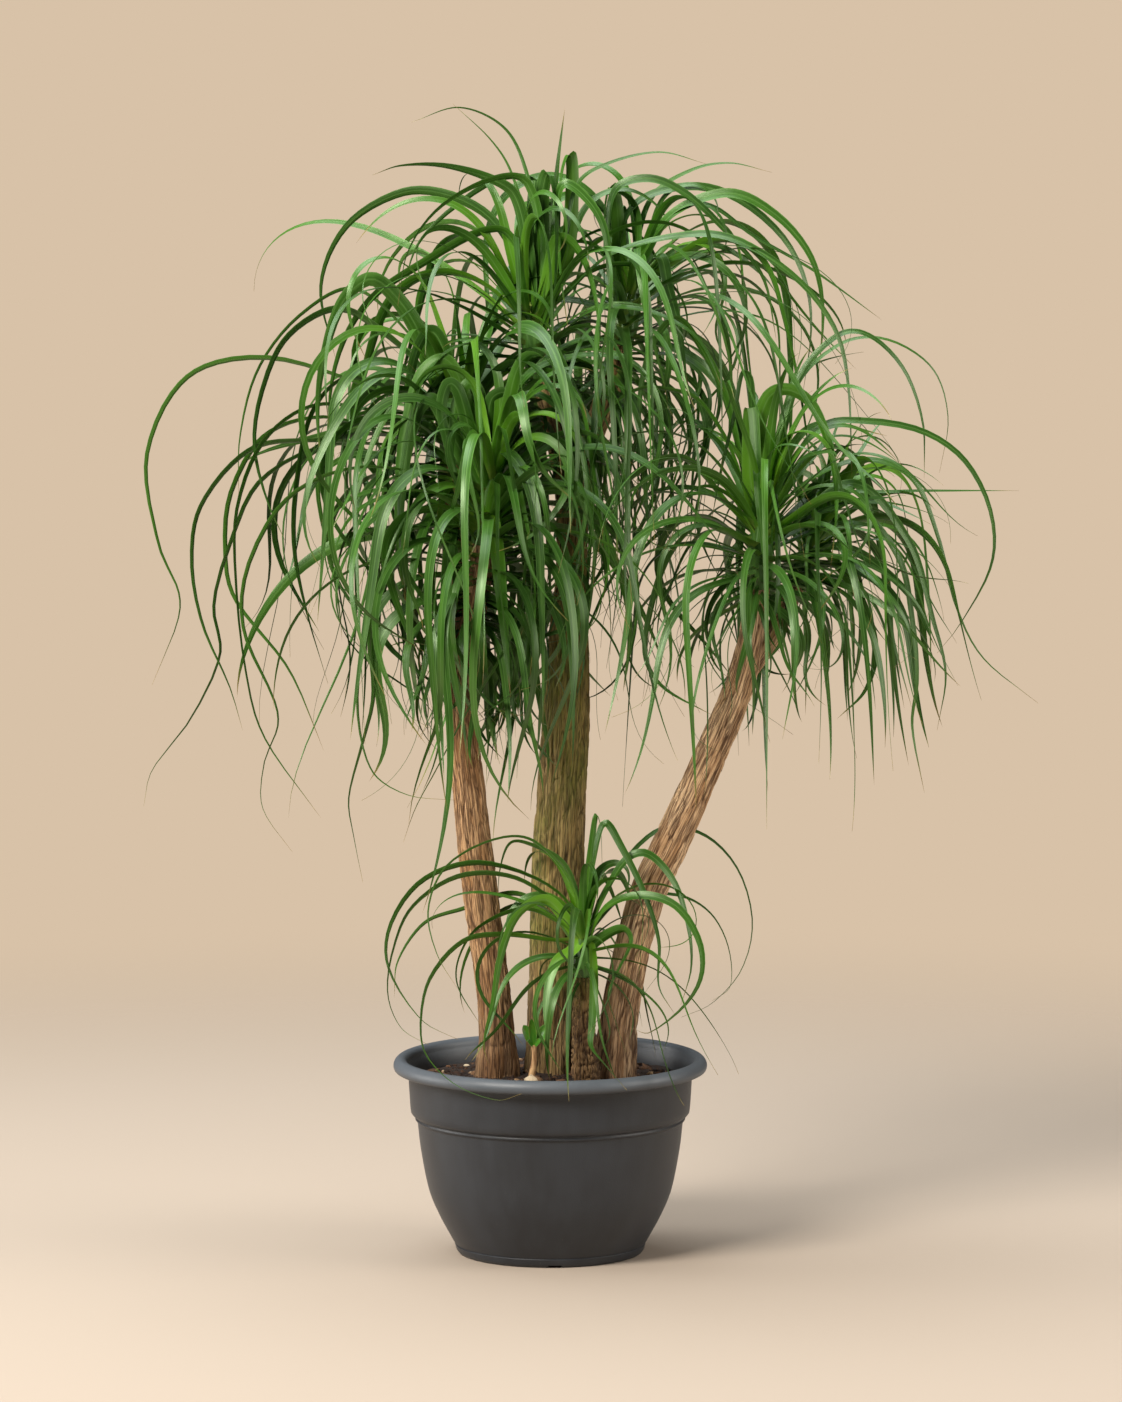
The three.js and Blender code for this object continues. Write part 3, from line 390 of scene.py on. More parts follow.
# A traced leaf is [width, depth at its middle, depth at its tip, turn in degrees, then points of
# its midline as x and z seen from the front]. Depths count from the crown, and less is nearer.
# extra: finer leaves that fill the mop between the others. skirt: how far down the stem they
# start. ceiling: how high they reach. long, slim: their length and width against the others.
# slow: how slowly they bend over. fresh: how light its green is.
crowns = {
    "crown_top_left": {
        "stem": ["trunk_centre", 0], "height": 95, "radius": 15, "reach": 430, "count": 15,
        "seed": 11, "extra": 68, "skirt": 60, "ceiling": 1150, "long": 0.96, "fresh": 0.35, "slim": 0.76,
        "slow": 1.2,
        "traced": [
            [11, 0, 6, 70, [0, 1120], [7, 1205], [16, 1275]],
            [15, -12, -52, 20, [17, 1110], [25, 1195], [22, 1227], [13, 1200], [11, 1110], [20, 1030]],
            [16, -20, -66, 15, [-9, 1100], [-9, 1180], [-2, 1205], [6, 1165], [5, 1080], [0, 1000]],
            [14, 6, 70, 25, [-22, 1100], [-18, 1180], [-17, 1196], [-20, 1140], [-24, 1060]],
            [15, -6, -10, 60, [-24, 1110], [-38, 1178], [-67, 1199], [-117, 1213], [-165, 1213],
             [-195, 1203]],
            [6, 4, 10, 60, [-20, 1120], [-42, 1203], [-65, 1241], [-106, 1280]],
            [6, 14, 24, 60, [-14, 1130], [-27, 1208], [-51, 1255], [-100, 1277], [-152, 1261]],
            [12, -26, -40, 50, [-10, 1120], [-25, 1193], [-60, 1199], [-120, 1168], [-156, 1120],
             [-168, 1060]],
            [9, 20, 34, 55, [0, 1110], [-8, 1185], [-47, 1201], [-100, 1172], [-145, 1128], [-163, 1075]],
            [12, 26, 44, 65, [-30, 1090], [-63, 1152], [-113, 1181], [-165, 1183], [-225, 1146],
             [-253, 1080], [-237, 1000]],
            [14, -30, -46, 55, [-25, 1085], [-47, 1138], [-81, 1138], [-143, 1104], [-197, 1067],
             [-230, 1015], [-244, 950], [-238, 885]],
            [16, -44, -70, 40, [8, 1060], [63, 1112], [132, 1134], [197, 1134], [268, 1092], [313, 1036],
             [329, 975], [334, 870]],
            [7, -14, -24, 60, [15, 1120], [29, 1190], [60, 1214], [120, 1228], [172, 1215]],
            [11, 16, 40, 55, [10, 1080], [33, 1156], [58, 1182], [92, 1185], [125, 1160], [140, 1110]],
            [12, -34, -60, 45, [2, 1120], [13, 1191], [37, 1180], [59, 1145], [66, 1085], [70, 1000]],
            [15, -36, -58, 20, [-2, 1085], [8, 1131], [23, 1128], [41, 1098], [53, 1040], [50, 960]],
            [10, -56, -96, 50, [4, 1026], [45, 1052], [80, 1057], [125, 1047], [165, 1020], [192, 965]],
        ],
    },
    "crown_top_right": {
        "stem": ["trunk_centre", 1], "height": 90, "radius": 14.5, "reach": 420, "count": 19,
        "seed": 23, "extra": 104, "skirt": 50, "ceiling": 1128, "long": 0.98, "fresh": 0.35, "slim": 0.72,
        "slow": 1.25,
        "traced": [
            [14, -14, -48, 18, [77, 1100], [74, 1165], [68, 1191], [61, 1165], [60, 1080], [63, 990]],
            [10, 10, 40, 25, [80, 1110], [80, 1160], [82, 1169], [86, 1130], [92, 1060]],
            [12, -20, -34, 55, [96, 1100], [133, 1158], [197, 1183], [250, 1158], [288, 1112], [301, 1056],
             [297, 985]],
            [11, 10, 18, 55, [76, 1120], [96, 1172], [155, 1190], [206, 1177], [256, 1135], [282, 1084],
             [288, 1030], [279, 960]],
            [10, -34, -50, 50, [66, 1130], [72, 1186], [109, 1199], [150, 1182], [195, 1140], [235, 1090],
             [250, 1020]],
            [7, 4, 8, 60, [92, 1110], [112, 1178], [155, 1208], [198, 1216], [243, 1206]],
            [13, -46, -76, 35, [100, 1090], [121, 1113], [130, 1080], [141, 1040], [152, 970]],
            [8, 30, 50, 55, [100, 1110], [140, 1165], [178, 1168], [225, 1135], [290, 1098], [365, 1044]],
        ],
    },
    "crown_left_high": {
        "stem": ["trunk_left", 1], "height": 85, "radius": 14.5, "reach": 430, "count": 13,
        "seed": 37, "extra": 94, "skirt": 60, "ceiling": 1050, "long": 1.26, "fresh": 0.3, "slim": 1.1,
        "slow": 1.1,
        "traced": [
            [11, 10, 24, 60, [-150, 945], [-200, 968], [-311, 1001], [-400, 981], [-446, 895], [-434, 795],
             [-410, 727], [-442, 638]],
            [13, -24, -34, 55, [-160, 905], [-258, 909], [-330, 900], [-385, 840], [-397, 778],
             [-386, 707], [-356, 636], [-342, 588]],
            [13, -6, -10, 60, [-140, 985], [-184, 1028], [-235, 1055], [-290, 1024], [-318, 965],
             [-327, 905], [-314, 845], [-292, 795]],
            [6, 16, 30, 60, [-150, 1020], [-215, 1077], [-275, 1049], [-322, 990], [-343, 915], [-345, 845]],
            [17, -30, -52, 30, [-128, 985], [-150, 1040], [-179, 1078], [-201, 1088], [-229, 1063],
             [-248, 1010], [-257, 950], [-254, 885]],
            [17, -46, -66, 35, [-150, 950], [-222, 978], [-262, 940], [-280, 860], [-283, 790],
             [-270, 720], [-247, 640]],
            [13, -38, -56, 45, [-180, 940], [-260, 948], [-316, 909], [-346, 835], [-348, 755],
             [-338, 655], [-318, 580], [-256, 490]],
            [12, 2, 12, 60, [-170, 915], [-250, 935], [-315, 915], [-352, 855], [-360, 795], [-350, 735],
             [-290, 655], [-252, 565]],
            [12, -14, -20, 55, [-160, 890], [-240, 905], [-320, 865], [-356, 790], [-373, 725],
             [-366, 672], [-399, 600], [-443, 542], [-452, 503]],
            [16, -20, -40, 25, [-112, 985], [-122, 1020], [-134, 1030], [-150, 1000], [-158, 940],
             [-160, 870]],
        ],
    },
    "crown_left_front": {
        "stem": ["trunk_left", 0], "height": 90, "radius": 15, "reach": 400, "count": 11,
        "seed": 41, "extra": 164, "skirt": 110, "ceiling": 975, "long": 0.92, "fresh": 0.3, "slim": 1.1,
        "slow": 1.0,
        "traced": [
            [16, -34, -50, 15, [-66, 865], [-62, 898], [-47, 890], [-33, 842], [-23, 792], [-17, 725],
             [-22, 650]],
            [17, -44, -52, 10, [-72, 828], [-70, 838], [-61, 795], [-55, 740], [-50, 685], [-44, 625]],
            [15, -8, -26, 25, [-74, 900], [-77, 958], [-88, 974], [-103, 955], [-109, 905], [-106, 850]],
            [14, -18, -34, 30, [-85, 905], [-100, 962], [-112, 973], [-120, 945], [-113, 905], [-103, 860],
             [-98, 790]],
            [15, -26, -40, 30, [-105, 910], [-130, 955], [-148, 940], [-160, 890], [-166, 820], [-160, 735]],
            [16, -14, -30, 30, [-88, 935], [-112, 998], [-140, 988], [-157, 942], [-167, 880], [-169, 800],
             [-158, 715]],
            [13, -20, -44, 30, [-68, 900], [-66, 953], [-50, 963], [-36, 948], [-24, 912], [-15, 865],
             [-12, 815]],
            [12, -10, -30, 40, [-62, 890], [-42, 948], [-15, 961], [15, 937], [42, 895], [55, 848],
             [58, 790]],
            [10, 4, -14, 45, [-57, 920], [-25, 982], [27, 1003], [76, 1000], [113, 974], [142, 925]],
            [10, 16, 4, 50, [-54, 925], [-15, 990], [27, 1019], [62, 1021], [102, 1007], [142, 975]],
            [15, -24, -16, 25, [-48, 842], [5, 858], [40, 838], [65, 790], [83, 740], [88, 690], [81, 630]],
            [10, -10, 0, 50, [-200, 880], [-285, 850], [-333, 775], [-340, 700], [-302, 605], [-318, 550],
             [-320, 500], [-288, 452]],
            [10, -30, -30, 45, [-125, 850], [-170, 800], [-198, 710], [-196, 625], [-210, 567],
             [-224, 510], [-218, 465], [-209, 418]],
            [9, -20, -10, 45, [-120, 870], [-165, 810], [-198, 710], [-214, 625], [-200, 545], [-160, 515],
             [-108, 509]],
            [9, -34, -40, 45, [-50, 850], [-28, 790], [-46, 690], [-92, 610], [-127, 543], [-150, 500],
             [-163, 463]],
            [15, -36, -60, 15, [-88, 835], [-108, 858], [-122, 820], [-130, 750], [-118, 690], [-100, 650]],
        ],
    },
    "crown_right_front": {
        "stem": ["trunk_right", 0], "height": 90, "radius": 15, "reach": 420, "count": 14,
        "seed": 53, "extra": 100, "skirt": 15, "ceiling": 1030, "long": 0.74, "fresh": 0.45, "slim": 0.74,
        "slow": 1.6,
        "traced": [
            [11, 20, 30, 60, [255, 900], [277, 982], [320, 1027], [354, 1025], [391, 988], [412, 930],
             [414, 868]],
            [6, 34, 54, 60, [268, 960], [318, 1015], [370, 1022], [422, 990], [440, 935], [431, 875]],
            [12, -6, -4, 60, [262, 870], [300, 925], [352, 931], [414, 919], [460, 886], [488, 830],
             [489, 772], [455, 706], [430, 674]],
            [10, 14, 26, 55, [280, 860], [345, 888], [400, 868], [430, 800], [450, 725], [480, 668],
             [541, 618]],
            [16, -22, -46, 30, [228, 900], [240, 955], [262, 966], [290, 948], [311, 895], [317, 835],
             [311, 770]],
            [18, -10, -30, 35, [215, 860], [190, 965], [155, 1030], [137, 1044], [115, 1018], [101, 970],
             [98, 900], [97, 835]],
            [15, -34, -50, 12, [222, 865], [221, 932], [223, 946], [227, 900], [231, 840], [237, 780],
             [239, 735]],
            [16, -40, -52, 12, [232, 825], [239, 866], [247, 850], [251, 800], [252, 745], [246, 690]],
            [11, -20, -42, 40, [224, 905], [221, 975], [213, 984], [204, 938], [190, 880], [179, 822]],
            [12, -26, -40, 45, [195, 805], [165, 815], [131, 778], [112, 722], [106, 670], [126, 635],
             [180, 604]],
            [10, 0, 14, 55, [330, 862], [396, 800], [424, 712], [439, 650], [430, 588]],
            [10, 8, 10, 50, [320, 845], [383, 785], [402, 705], [407, 642], [402, 592], [416, 518]],
            [5, 30, 44, 60, [300, 846], [380, 853], [450, 854], [518, 854]],
            [11, -8, -36, 50, [205, 885], [166, 952], [130, 966], [96, 966], [62, 940], [38, 889],
             [30, 835], [35, 785], [72, 698]],
            [12, -14, -38, 45, [198, 835], [151, 888], [110, 882], [69, 846], [53, 800], [46, 740],
             [38, 680]],
        ],
    },
    "crown_right_back": {
        "stem": ["trunk_right", 1], "height": 75, "radius": 12.5, "reach": 330, "count": 19,
        "seed": 67, "extra": 56, "skirt": 5, "ceiling": 930, "long": 0.74, "fresh": 0.8, "slim": 0.62,
        "slow": 1.6,
        "traced": [
            [10, -12, -20, 50, [266, 755], [257, 705], [265, 655], [290, 628], [336, 598]],
            [10, -20, -30, 50, [305, 785], [343, 735], [361, 678], [350, 632], [319, 600]],
            [12, -26, -40, 40, [300, 790], [335, 787], [370, 765], [402, 732], [427, 680]],
            [11, -30, -50, 25, [286, 830], [292, 858], [304, 850], [318, 800], [322, 740]],
            [11, 10, 30, 35, [290, 840], [310, 872], [345, 850], [366, 790], [378, 700], [401, 614]],
        ],
    },
    "crown_offset": {
        "stem": ["offset_stem", 0], "height": 62, "radius": 11.5, "reach": 260, "count": 6,
        "seed": 79, "extra": 34, "skirt": 0, "ceiling": 455, "long": 0.95, "fresh": 0.6, "slim": 0.62,
        "slow": 1.2,
        "traced": [
            [10, 4, 20, 30, [41, 400], [46, 455], [51, 492], [56, 480], [58, 430]],
            [9, -14, -34, 45, [48, 430], [60, 483], [78, 458], [105, 403], [121, 350], [121, 300],
             [139, 268]],
            [8, 84, 96, 55, [60, 405], [117, 473], [168, 471], [208, 432], [225, 372], [213, 318],
             [180, 280], [147, 265]],
            [8, 96, 120, 55, [68, 392], [110, 430], [157, 443], [200, 418], [219, 370], [202, 300],
             [176, 250], [168, 226]],
            [10, -10, -24, 45, [60, 400], [85, 442], [109, 448], [138, 416], [154, 365], [157, 320],
             [146, 279]],
            [9, -24, -30, 45, [60, 385], [100, 402], [140, 390], [166, 350], [168, 310], [148, 276],
             [110, 247], [93, 252]],
            [7, 90, 90, 50, [80, 398], [140, 402], [177, 383], [198, 345], [201, 300], [182, 284]],
            [9, -16, -40, 50, [20, 392], [-25, 424], [-87, 438], [-144, 417], [-178, 368], [-180, 320],
             [-144, 262], [-104, 240]],
            [9, -30, -60, 50, [15, 385], [-40, 421], [-101, 423], [-153, 389], [-175, 340], [-181, 290],
             [-166, 252], [-137, 234]],
            [8, -20, -24, 50, [10, 370], [-30, 386], [-79, 366], [-101, 333], [-103, 300], [-78, 256]],
            [7, 80, 90, 50, [0, 380], [-40, 404], [-96, 387], [-140, 371], [-170, 328], [-174, 288]],
            [9, -60, -142, 45, [5, 350], [-50, 357], [-96, 350], [-133, 309], [-144, 260], [-138, 222],
             [-105, 188], [-59, 171], [-33, 178]],
            [11, -36, -50, 30, [20, 370], [-5, 397], [-36, 380], [-55, 333], [-64, 280], [-74, 235],
             [-69, 212]],
            [9, -50, -136, 30, [12, 326], [-20, 328], [-45, 298], [-42, 255], [-5, 198], [13, 187],
             [14, 160], [18, 132]],
            [11, -70, -136, 20, [42, 352], [46, 335], [48, 300], [46, 255], [45, 232], [60, 212], [85, 183]],
            [10, -24, -40, 30, [55, 352], [80, 364], [89, 350], [75, 318], [64, 290], [72, 262], [84, 226]],
            [11, -30, -50, 20, [25, 340], [8, 328], [-2, 300], [-5, 262], [0, 235]],
            [9, -6, -16, 35, [30, 400], [12, 440], [-25, 460], [-45, 460], [-56, 430], [-58, 395]],
            [5, -16, -40, 55, [25, 410], [-19, 463], [-64, 464], [-116, 434], [-136, 385], [-126, 335],
             [-104, 298]],
        ],
    },
}

# A crown's heart stands on the end of its stem and points the same way.
for crown in crowns.values():
    trunk = trunks[crown["stem"][0]]
    path = np.array([trunk["main"], *trunk["branches"]][crown["stem"][1]], float)
    crown["at"] = path[-1, :3]
    crown["path"] = path[::-1, :3]
    crown["axis"] = unit(path[-1, :3] - path[-2, :3])

# the rules that the leaves of the solids follow
leafSamples = 60
stepShare = (np.arange(leafSamples) + 0.5) / leafSamples  # how far along a leaf each step is
goldenAngle = math.radians(137.508)
leafRule = {
    "tries": 14, "width": (9, 14),
    "launch": (84, -14),  # degrees above the horizon, youngest to oldest
    "hang": (-76, -96),  # degrees at the tip
    "bendStart": (0.02, 0.16), "bendEnd": (0.5, 0.74),  # shares of the length
    "sway": 0.55, "deeper": 0.35, "headingSpread": 0.7, "launchSpread": 18, "grownSpread": 0.24,
    "lean": 0.8,  # how much of its stem's sideways lean a leaf starts with
    "turn": 2.2,  # how far its blade may be rolled, in radians from side to side
    "young": 0.12, "youngWidth": 0.8,
    "launchPower": 0.8, "curl": (0.35, 0.9),  # curl: what is taken off the draw, and the width of its band
    "snaking": (0.35, 7),  # how much of the sway comes to and fro, and how many radians of it
    "starts": (0.9, 0.1),  # where on the heart the youngest and the oldest leaf start
    "tracedStarts": (0.2, 0.6, 0.618),  # from, over how much, and the share between one and the next
    "standingAge": 0.1, "foldedAge": 0.2, "hangingAge": 0.45, "foldedTurn": 0.5,  # traced leaves'
}
leafRoom = {"besideTrunk": 6, "besideHeart": 12, "sharedZone": 90}
nudges = (0, 8, -8, 16, -16, 24, -24, 34, -34, 46, -46, 60)  # depths tried at a traced tip
potKeepOut = {"outer": 183, "inner": 150, "top": 228, "soil": soilLevel + 12}
cellSize = 7
faceOn = 30  # a traced leaf that is turned less than this, in degrees, shows its face


def tracedLine(crown, entry, index, nudge):
    # each seen point slides along the line of sight to its depth, which follows a parabola
    middle, tip, seen = entry[1], entry[2], np.array(entry[4:], float)
    lowest, over, step = leafRule["tracedStarts"]
    root = crown["at"] + crown["axis"] * crown["height"] * (lowest + over * ((index * step) % 1))
    travelled = travelledAlong(np.vstack([root[[0, 2]], seen]))[1:]
    share = travelled / travelled[-1]
    bow = (4 * middle - tip) * share + (2 * tip - 4 * middle) * share**2
    depth = crown["at"][1] + bow + nudge * share
    slide = 1 + depth / eye["distance"]
    x = eye["x"] + (seen[:, 0] - eye["x"]) * slide
    z = eye["height"] + (seen[:, 1] - eye["height"]) * slide
    return smoothLine(np.vstack([root, np.stack([x, depth, z], axis=1)]), leafSamples)


def grownShare(age):
    # leaves of middle age are the longest
    return 0.74 + 0.3 * math.sin(math.pi * min(1, age * 1.15))


def stepOf(reach, grown, heading):
    # the length of one step; a mop is deeper than it is wide
    return reach * grown * (1 + leafRule["deeper"] * math.sin(heading) ** 2) / leafSamples


def ruleLeaf(crown, index, draw):
    # leaves the heart at its own golden-angle heading, bends over by an eased pitch and hangs
    age = (index + 0.5) / crown["count"]
    heading = index * goldenAngle + swing(draw, leafRule["headingSpread"])
    launch = mix(*leafRule["launch"], age ** leafRule["launchPower"]) + swing(draw, leafRule["launchSpread"])
    hang = mix(*leafRule["hang"], draw())
    bend = mix(*leafRule["bendStart"], draw()), mix(*leafRule["bendEnd"], draw())
    grown = grownShare(age) + swing(draw, leafRule["grownSpread"])
    sway = swing(draw, 2 * leafRule["sway"])
    less, band = leafRule["curl"]
    curl = (draw() - less) * band
    turn = swing(draw, leafRule["turn"])
    width = mix(*leafRule["width"], draw()) * (leafRule["youngWidth"] if age < leafRule["young"] else 1)
    bent = easeIn((stepShare - bend[0]) / (bend[1] - bend[0]))
    pitch = np.radians(launch + (hang - launch) * bent) + curl * stepShare**4
    part, windings = leafRule["snaking"]
    ahead = towards(pitch, heading + sway * (stepShare**2 + part * np.sin(windings * stepShare)))
    ahead[:, 0] += crown["axis"][0] * (1 - stepShare) * leafRule["lean"]
    start = crown["at"] + crown["axis"] * crown["height"] * mix(*leafRule["starts"], age)
    line = walked(start, ahead, stepOf(crown["reach"], grown, heading))
    return {"line": line, "width": width, "turn": turn, "age": age}


# space that is already taken, in cells that remember which crown came first
limbs = [np.array(path, float) for t in trunks.values() for path in [t["main"], *t["branches"]]]
limbFrom = np.vstack([path[:-1] for path in limbs])
limbTo = np.vstack([path[1:] for path in limbs])
owners = np.full((200, 200, 230), -1, np.int8)
ownersStart = np.array([-100, -100, -8])


def hitsTrunk(line):
    # nearer to a limb's middle line than its radius and the room beside it
    along = limbTo[:, :3] - limbFrom[:, :3]
    toPoint = line[:, None] - limbFrom[None, :, :3]
    share = np.clip((toPoint * along).sum(-1) / (along * along).sum(-1), 0, 1)
    away = np.linalg.norm(toPoint - along * share[..., None], axis=-1)
    radius = mix(limbFrom[:, 3], limbTo[:, 3], share)
    return (away < radius + leafRoom["besideTrunk"]).any(axis=1)


def hitsPot(line):
    radius = np.hypot(line[:, 0], line[:, 1])
    low = (line[:, 2] <= potKeepOut["top"]) & (radius <= potKeepOut["outer"])
    return low & ((radius > potKeepOut["inner"]) | (line[:, 2] < potKeepOut["soil"]))


def cellsOf(line):
    return tuple((np.floor(line / cellSize).astype(int) - ownersStart).T)


def isClear(line, me, crown, ownZone):
    # clear of pot, trunks and other crowns, and past ownZone of the crown's own leaves too
    fromRoot = np.linalg.norm(line - line[0], axis=1)
    owner = owners[cellsOf(line)]
    met = (owner >= 0) & ((owner != me) | (fromRoot > ownZone))
    far = fromRoot >= crown["radius"] + leafRoom["besideHeart"]
    return not ((hitsPot(line) | hitsTrunk(line) | met) & far).any()


def isOffWood(line, crown):
    far = np.linalg.norm(line - line[0], axis=1) > crown["radius"] + leafRoom["besideHeart"]
    return not ((hitsPot(line) | hitsTrunk(line)) & far).any()


def claim(line, me):
    for beside in np.vstack([np.eye(3), -np.eye(3)]):
        cells = cellsOf(line + beside * cellSize / 2)
        owners[cells] = np.where(owners[cells] < 0, me, owners[cells])
    owners[cellsOf(line)] = me


def growLeaves():
    # traced leaves first, then those of the rule, each in the first place that is clear
    grown = {name: [] for name in crowns}
    for me, (name, crown) in enumerate(crowns.items()):
        for index, entry in enumerate(crown["traced"]):
            lines = [tracedLine(crown, entry, index, nudge) for nudge in nudges]
            zones = (leafRoom["sharedZone"], math.inf)
            clear = (line for zone in zones for line in lines if isClear(line, me, crown, zone))
            line = next(clear, None)
            if line is not None:
                claim(line, me)
            else:
                line = next((line for line in lines if isOffWood(line, crown)), None)
            if line is None:
                continue
            turn = math.radians(entry[3])
            age = leafRule["standingAge" if line[-1, 2] >= line[:, 2].max() else "hangingAge"]
            leaf = {"line": line, "width": entry[0], "turn": turn, "age": age}
            if entry[3] <= faceOn:
                # folds over towards the front, face on, and is one of the young inner leaves
                turn *= leafRule["foldedTurn"]
                leaf.update({"side": [1.0, 0, 0], "turn": turn, "age": leafRule["foldedAge"]})
            grown[name].append(leaf)
    for me, (name, crown) in enumerate(crowns.items()):
        draw = randomFrom(crown["seed"])
        for index in range(crown["count"]):
            for _ in range(leafRule["tries"]):
                leaf = ruleLeaf(crown, index, draw)
                if isClear(leaf["line"], me, crown, leafRoom["sharedZone"]):
                    claim(leaf["line"], me)
                    break
            if isOffWood(leaf["line"], crown):
                grown[name].append(leaf)
    return grown


# the finer leaves that fill each mop: angles in degrees, and shares of the crown's reach
finer = {
    "launch": (84, -26), "launchSpread": 24, "hang": (-66, -150),
    "bendStart": (0.0, 0.1), "upright": 0.3, "bendLasts": (0.6, 1.3), "sooner": 0.6,
    "headingSpread": 0.9, "sway": 0.9, "curl": 1.0, "drift": (0.35, 1.25),
    "reach": (0.6, 1.02), "oldest": 0.62, "width": (6.5, 15), "tries": 30, "margin": 6,
    "thread": 3.2, "threadEvery": 7, "threadFirst": 5,  # every seventh leaf is as thin as a thread
    "broad": (13, 18), "broadCount": 6, "broadRise": 65,  # the youngest are broad and stand high,
    "fullHeart": 90,  # six of them on a heart of this height,
    "broadReach": (0.55, 0.85), "calm": 0.3,  # and they are shorter and ripple less
    "heartRoom": (80, 230, 95),  # half sizes of the room that each heart keeps free of other mops
    "inFront": 15,  # how much nearer to the viewer such a heart is
    "ownRoom": 120,  # a leaf may be this near its own heart all the same
    "seedStep": 1000,  # its draws are not those of the leaves of the solids
    "launchPower": 0.85, "young": 0.15, "olderSooner": 1.4,
    "ripples": 6.5, "drifts": 4.5,  # radians of the wave along a leaf
    "lateFrom": 0.6, "lateOver": 0.4,  # ages over which leaves get shorter
    "highest": 0.9,  # where on the heart the youngest start
}


def finerLine(crown, age, index, draw, isBroad):
    # the pitch eases from launch to hang and ripples, and a sideways push grows towards the tip
    lively = finer["calm"] if isBroad else 1
    launch = mix(*finer["launch"], age ** finer["launchPower"]) + swing(draw, finer["launchSpread"])
    hang = mix(*finer["hang"], draw())
    bendStart = mix(*finer["bendStart"], draw()) + finer["upright"] * max(0, 1 - age / finer["young"])
    lasts = mix(*finer["bendLasts"], draw()) * crown["slow"]
    lasts *= mix(1, finer["sooner"], easeIn(age * finer["olderSooner"]))
    bent = easeIn((stepShare - bendStart) / lasts)
    phase = draw() * 2 * math.pi
    ripple = swing(draw, 2 * lively * finer["curl"]) * stepShare**2
    ripple = ripple * np.sin(finer["ripples"] * stepShare + phase)
    pitch = np.radians(launch + (hang - launch) * bent) + ripple
    heading = index * goldenAngle + swing(draw, finer["headingSpread"])
    sway = swing(draw, 2 * finer["sway"])
    push = lively * mix(*finer["drift"], draw()) * stepShare**2
    push = push * np.sin(finer["drifts"] * stepShare + phase)
    toSide = draw() * 2 * math.pi
    ahead = towards(pitch, heading + sway * stepShare**2)
    ahead += push[:, None] * onCircle(1, toSide, 0)
    ahead[:, 0] += crown["axis"][0] * (1 - stepShare) * leafRule["lean"]
    grown = grownShare(age) * mix(1, finer["oldest"], easeIn((age - finer["lateFrom"]) / finer["lateOver"]))
    grown *= mix(*finer["broadReach" if isBroad else "reach"], draw())
    start = startOf(crown, mix(finer["highest"] * crown["height"], -crown["skirt"], age))
    return walked(start, ahead, stepOf(crown["reach"] * crown["long"], grown, heading))


def startOf(crown, above):
    # a place on the heart, or down the stem when above is negative
    down = travelledAlong(crown["path"])
    foot = np.array([np.interp(-above, down, part) for part in crown["path"].T])
    return foot + crown["axis"] * max(above, 0)


def finerLeaves(crown):
    # each leaf is drawn again until it keeps off the wood, the pot and the sides of the box;
    # gives the broad ones and the others
    draw = np.random.RandomState(crown["seed"] + finer["seedStep"]).rand
    low = np.array(cadLow) / millimetre + finer["margin"]
    high = np.array(cadHigh) / millimetre - finer["margin"]
    hearts = np.array([other["at"] + other["axis"] * other["height"] for other in crowns.values()])
    hearts = hearts[hearts[:, 1] < crown["at"][1] - finer["inFront"]]
    broad, found = [], []
    for index in range(crown["extra"]):
        age = (index + 0.5) / crown["extra"]
        isBroad = index < finer["broadCount"] * crown["height"] / finer["fullHeart"]
        high[2] = crown["ceiling"] + finer["broadRise"] * isBroad
        isThread = index % finer["threadEvery"] == finer["threadFirst"] and not isBroad
        for _ in range(finer["tries"]):
            line = finerLine(crown, age, index, draw, isBroad)
            width = mix(*finer["broad" if isBroad else "width"], draw())
            width = finer["thread"] if isThread else width * crown["slim"] ** (0.5 if isBroad else 1)
            turn = swing(draw, leafRule["turn"])
            blocked = ((line < low) | (line > high)).any() or not isOffWood(line, crown)
            beyond = line[np.linalg.norm(line - line[0], axis=1) > finer["ownRoom"]]
            crowded = ((((beyond[:, None] - hearts) / finer["heartRoom"]) ** 2).sum(axis=-1) < 1).any()
            if not blocked and not crowded:
                (broad if isBroad else found).append({"line": line, "width": width, "turn": turn, "age": age})
                break
    return broad, found


blade = {
    "sharper": 50,  # degrees past which an edge is sharp
    "rings": 36, "channel": 0.3, "baseChannel": 0.7, "thickness": (0.9, 0.35), "tipHalf": 0.25,
    "across": np.array([-1, -0.55, 0, 0.55, 1, 0.55, 0, -0.55]),  # over the top and back underneath
    "under": np.array([0.5, 0, 0, 0, 0.5, 1, 1, 1]),
    "waver": 0.35,  # radians that a blade slowly rolls to and fro
    "wider": 1.28,  # the solids' blades are slimmer, to keep clear of each other
    "slimming": (420, 200, 0.6),  # past this length a blade gets slimmer, over this length, to this share
    "rootWidth": 0.72, "widening": 2,  # half width at the root, and how fast it grows to the full one
    "taper": 1.7, "blunt": 0.95, "flatter": 0.6,  # flatter: how much of the channel is gone at the tip
    "hollow": 1.5,  # the channel's section is |t|^1.5
    "rolled": 2.5,  # the leaf's own roll is complete after 1 / 2.5 of its length
    "clasp": 22, "claspWider": 0.4,  # the clasping base fades by e^(-22 s), and is this much wider
    "apart": 37,  # how far the pattern of one leaf is from that of the next
}
finerBlade = {
    **blade, "rings": 26, "across": np.array([-1, 0, 1, 0]), "under": np.array([0.5, 0, 0.5, 1]),
    "wider": 1.0, "taper": 2.4,
}


def sample(values, places):
    # values at fractional places along axis 1, one row of places for each leaf
    low = np.minimum(places.astype(int), values.shape[1] - 2)
    share = (places - low)[..., None]
    rows = np.arange(len(values))[:, None]
    return mix(values[rows, low], values[rows, low + 1], share)


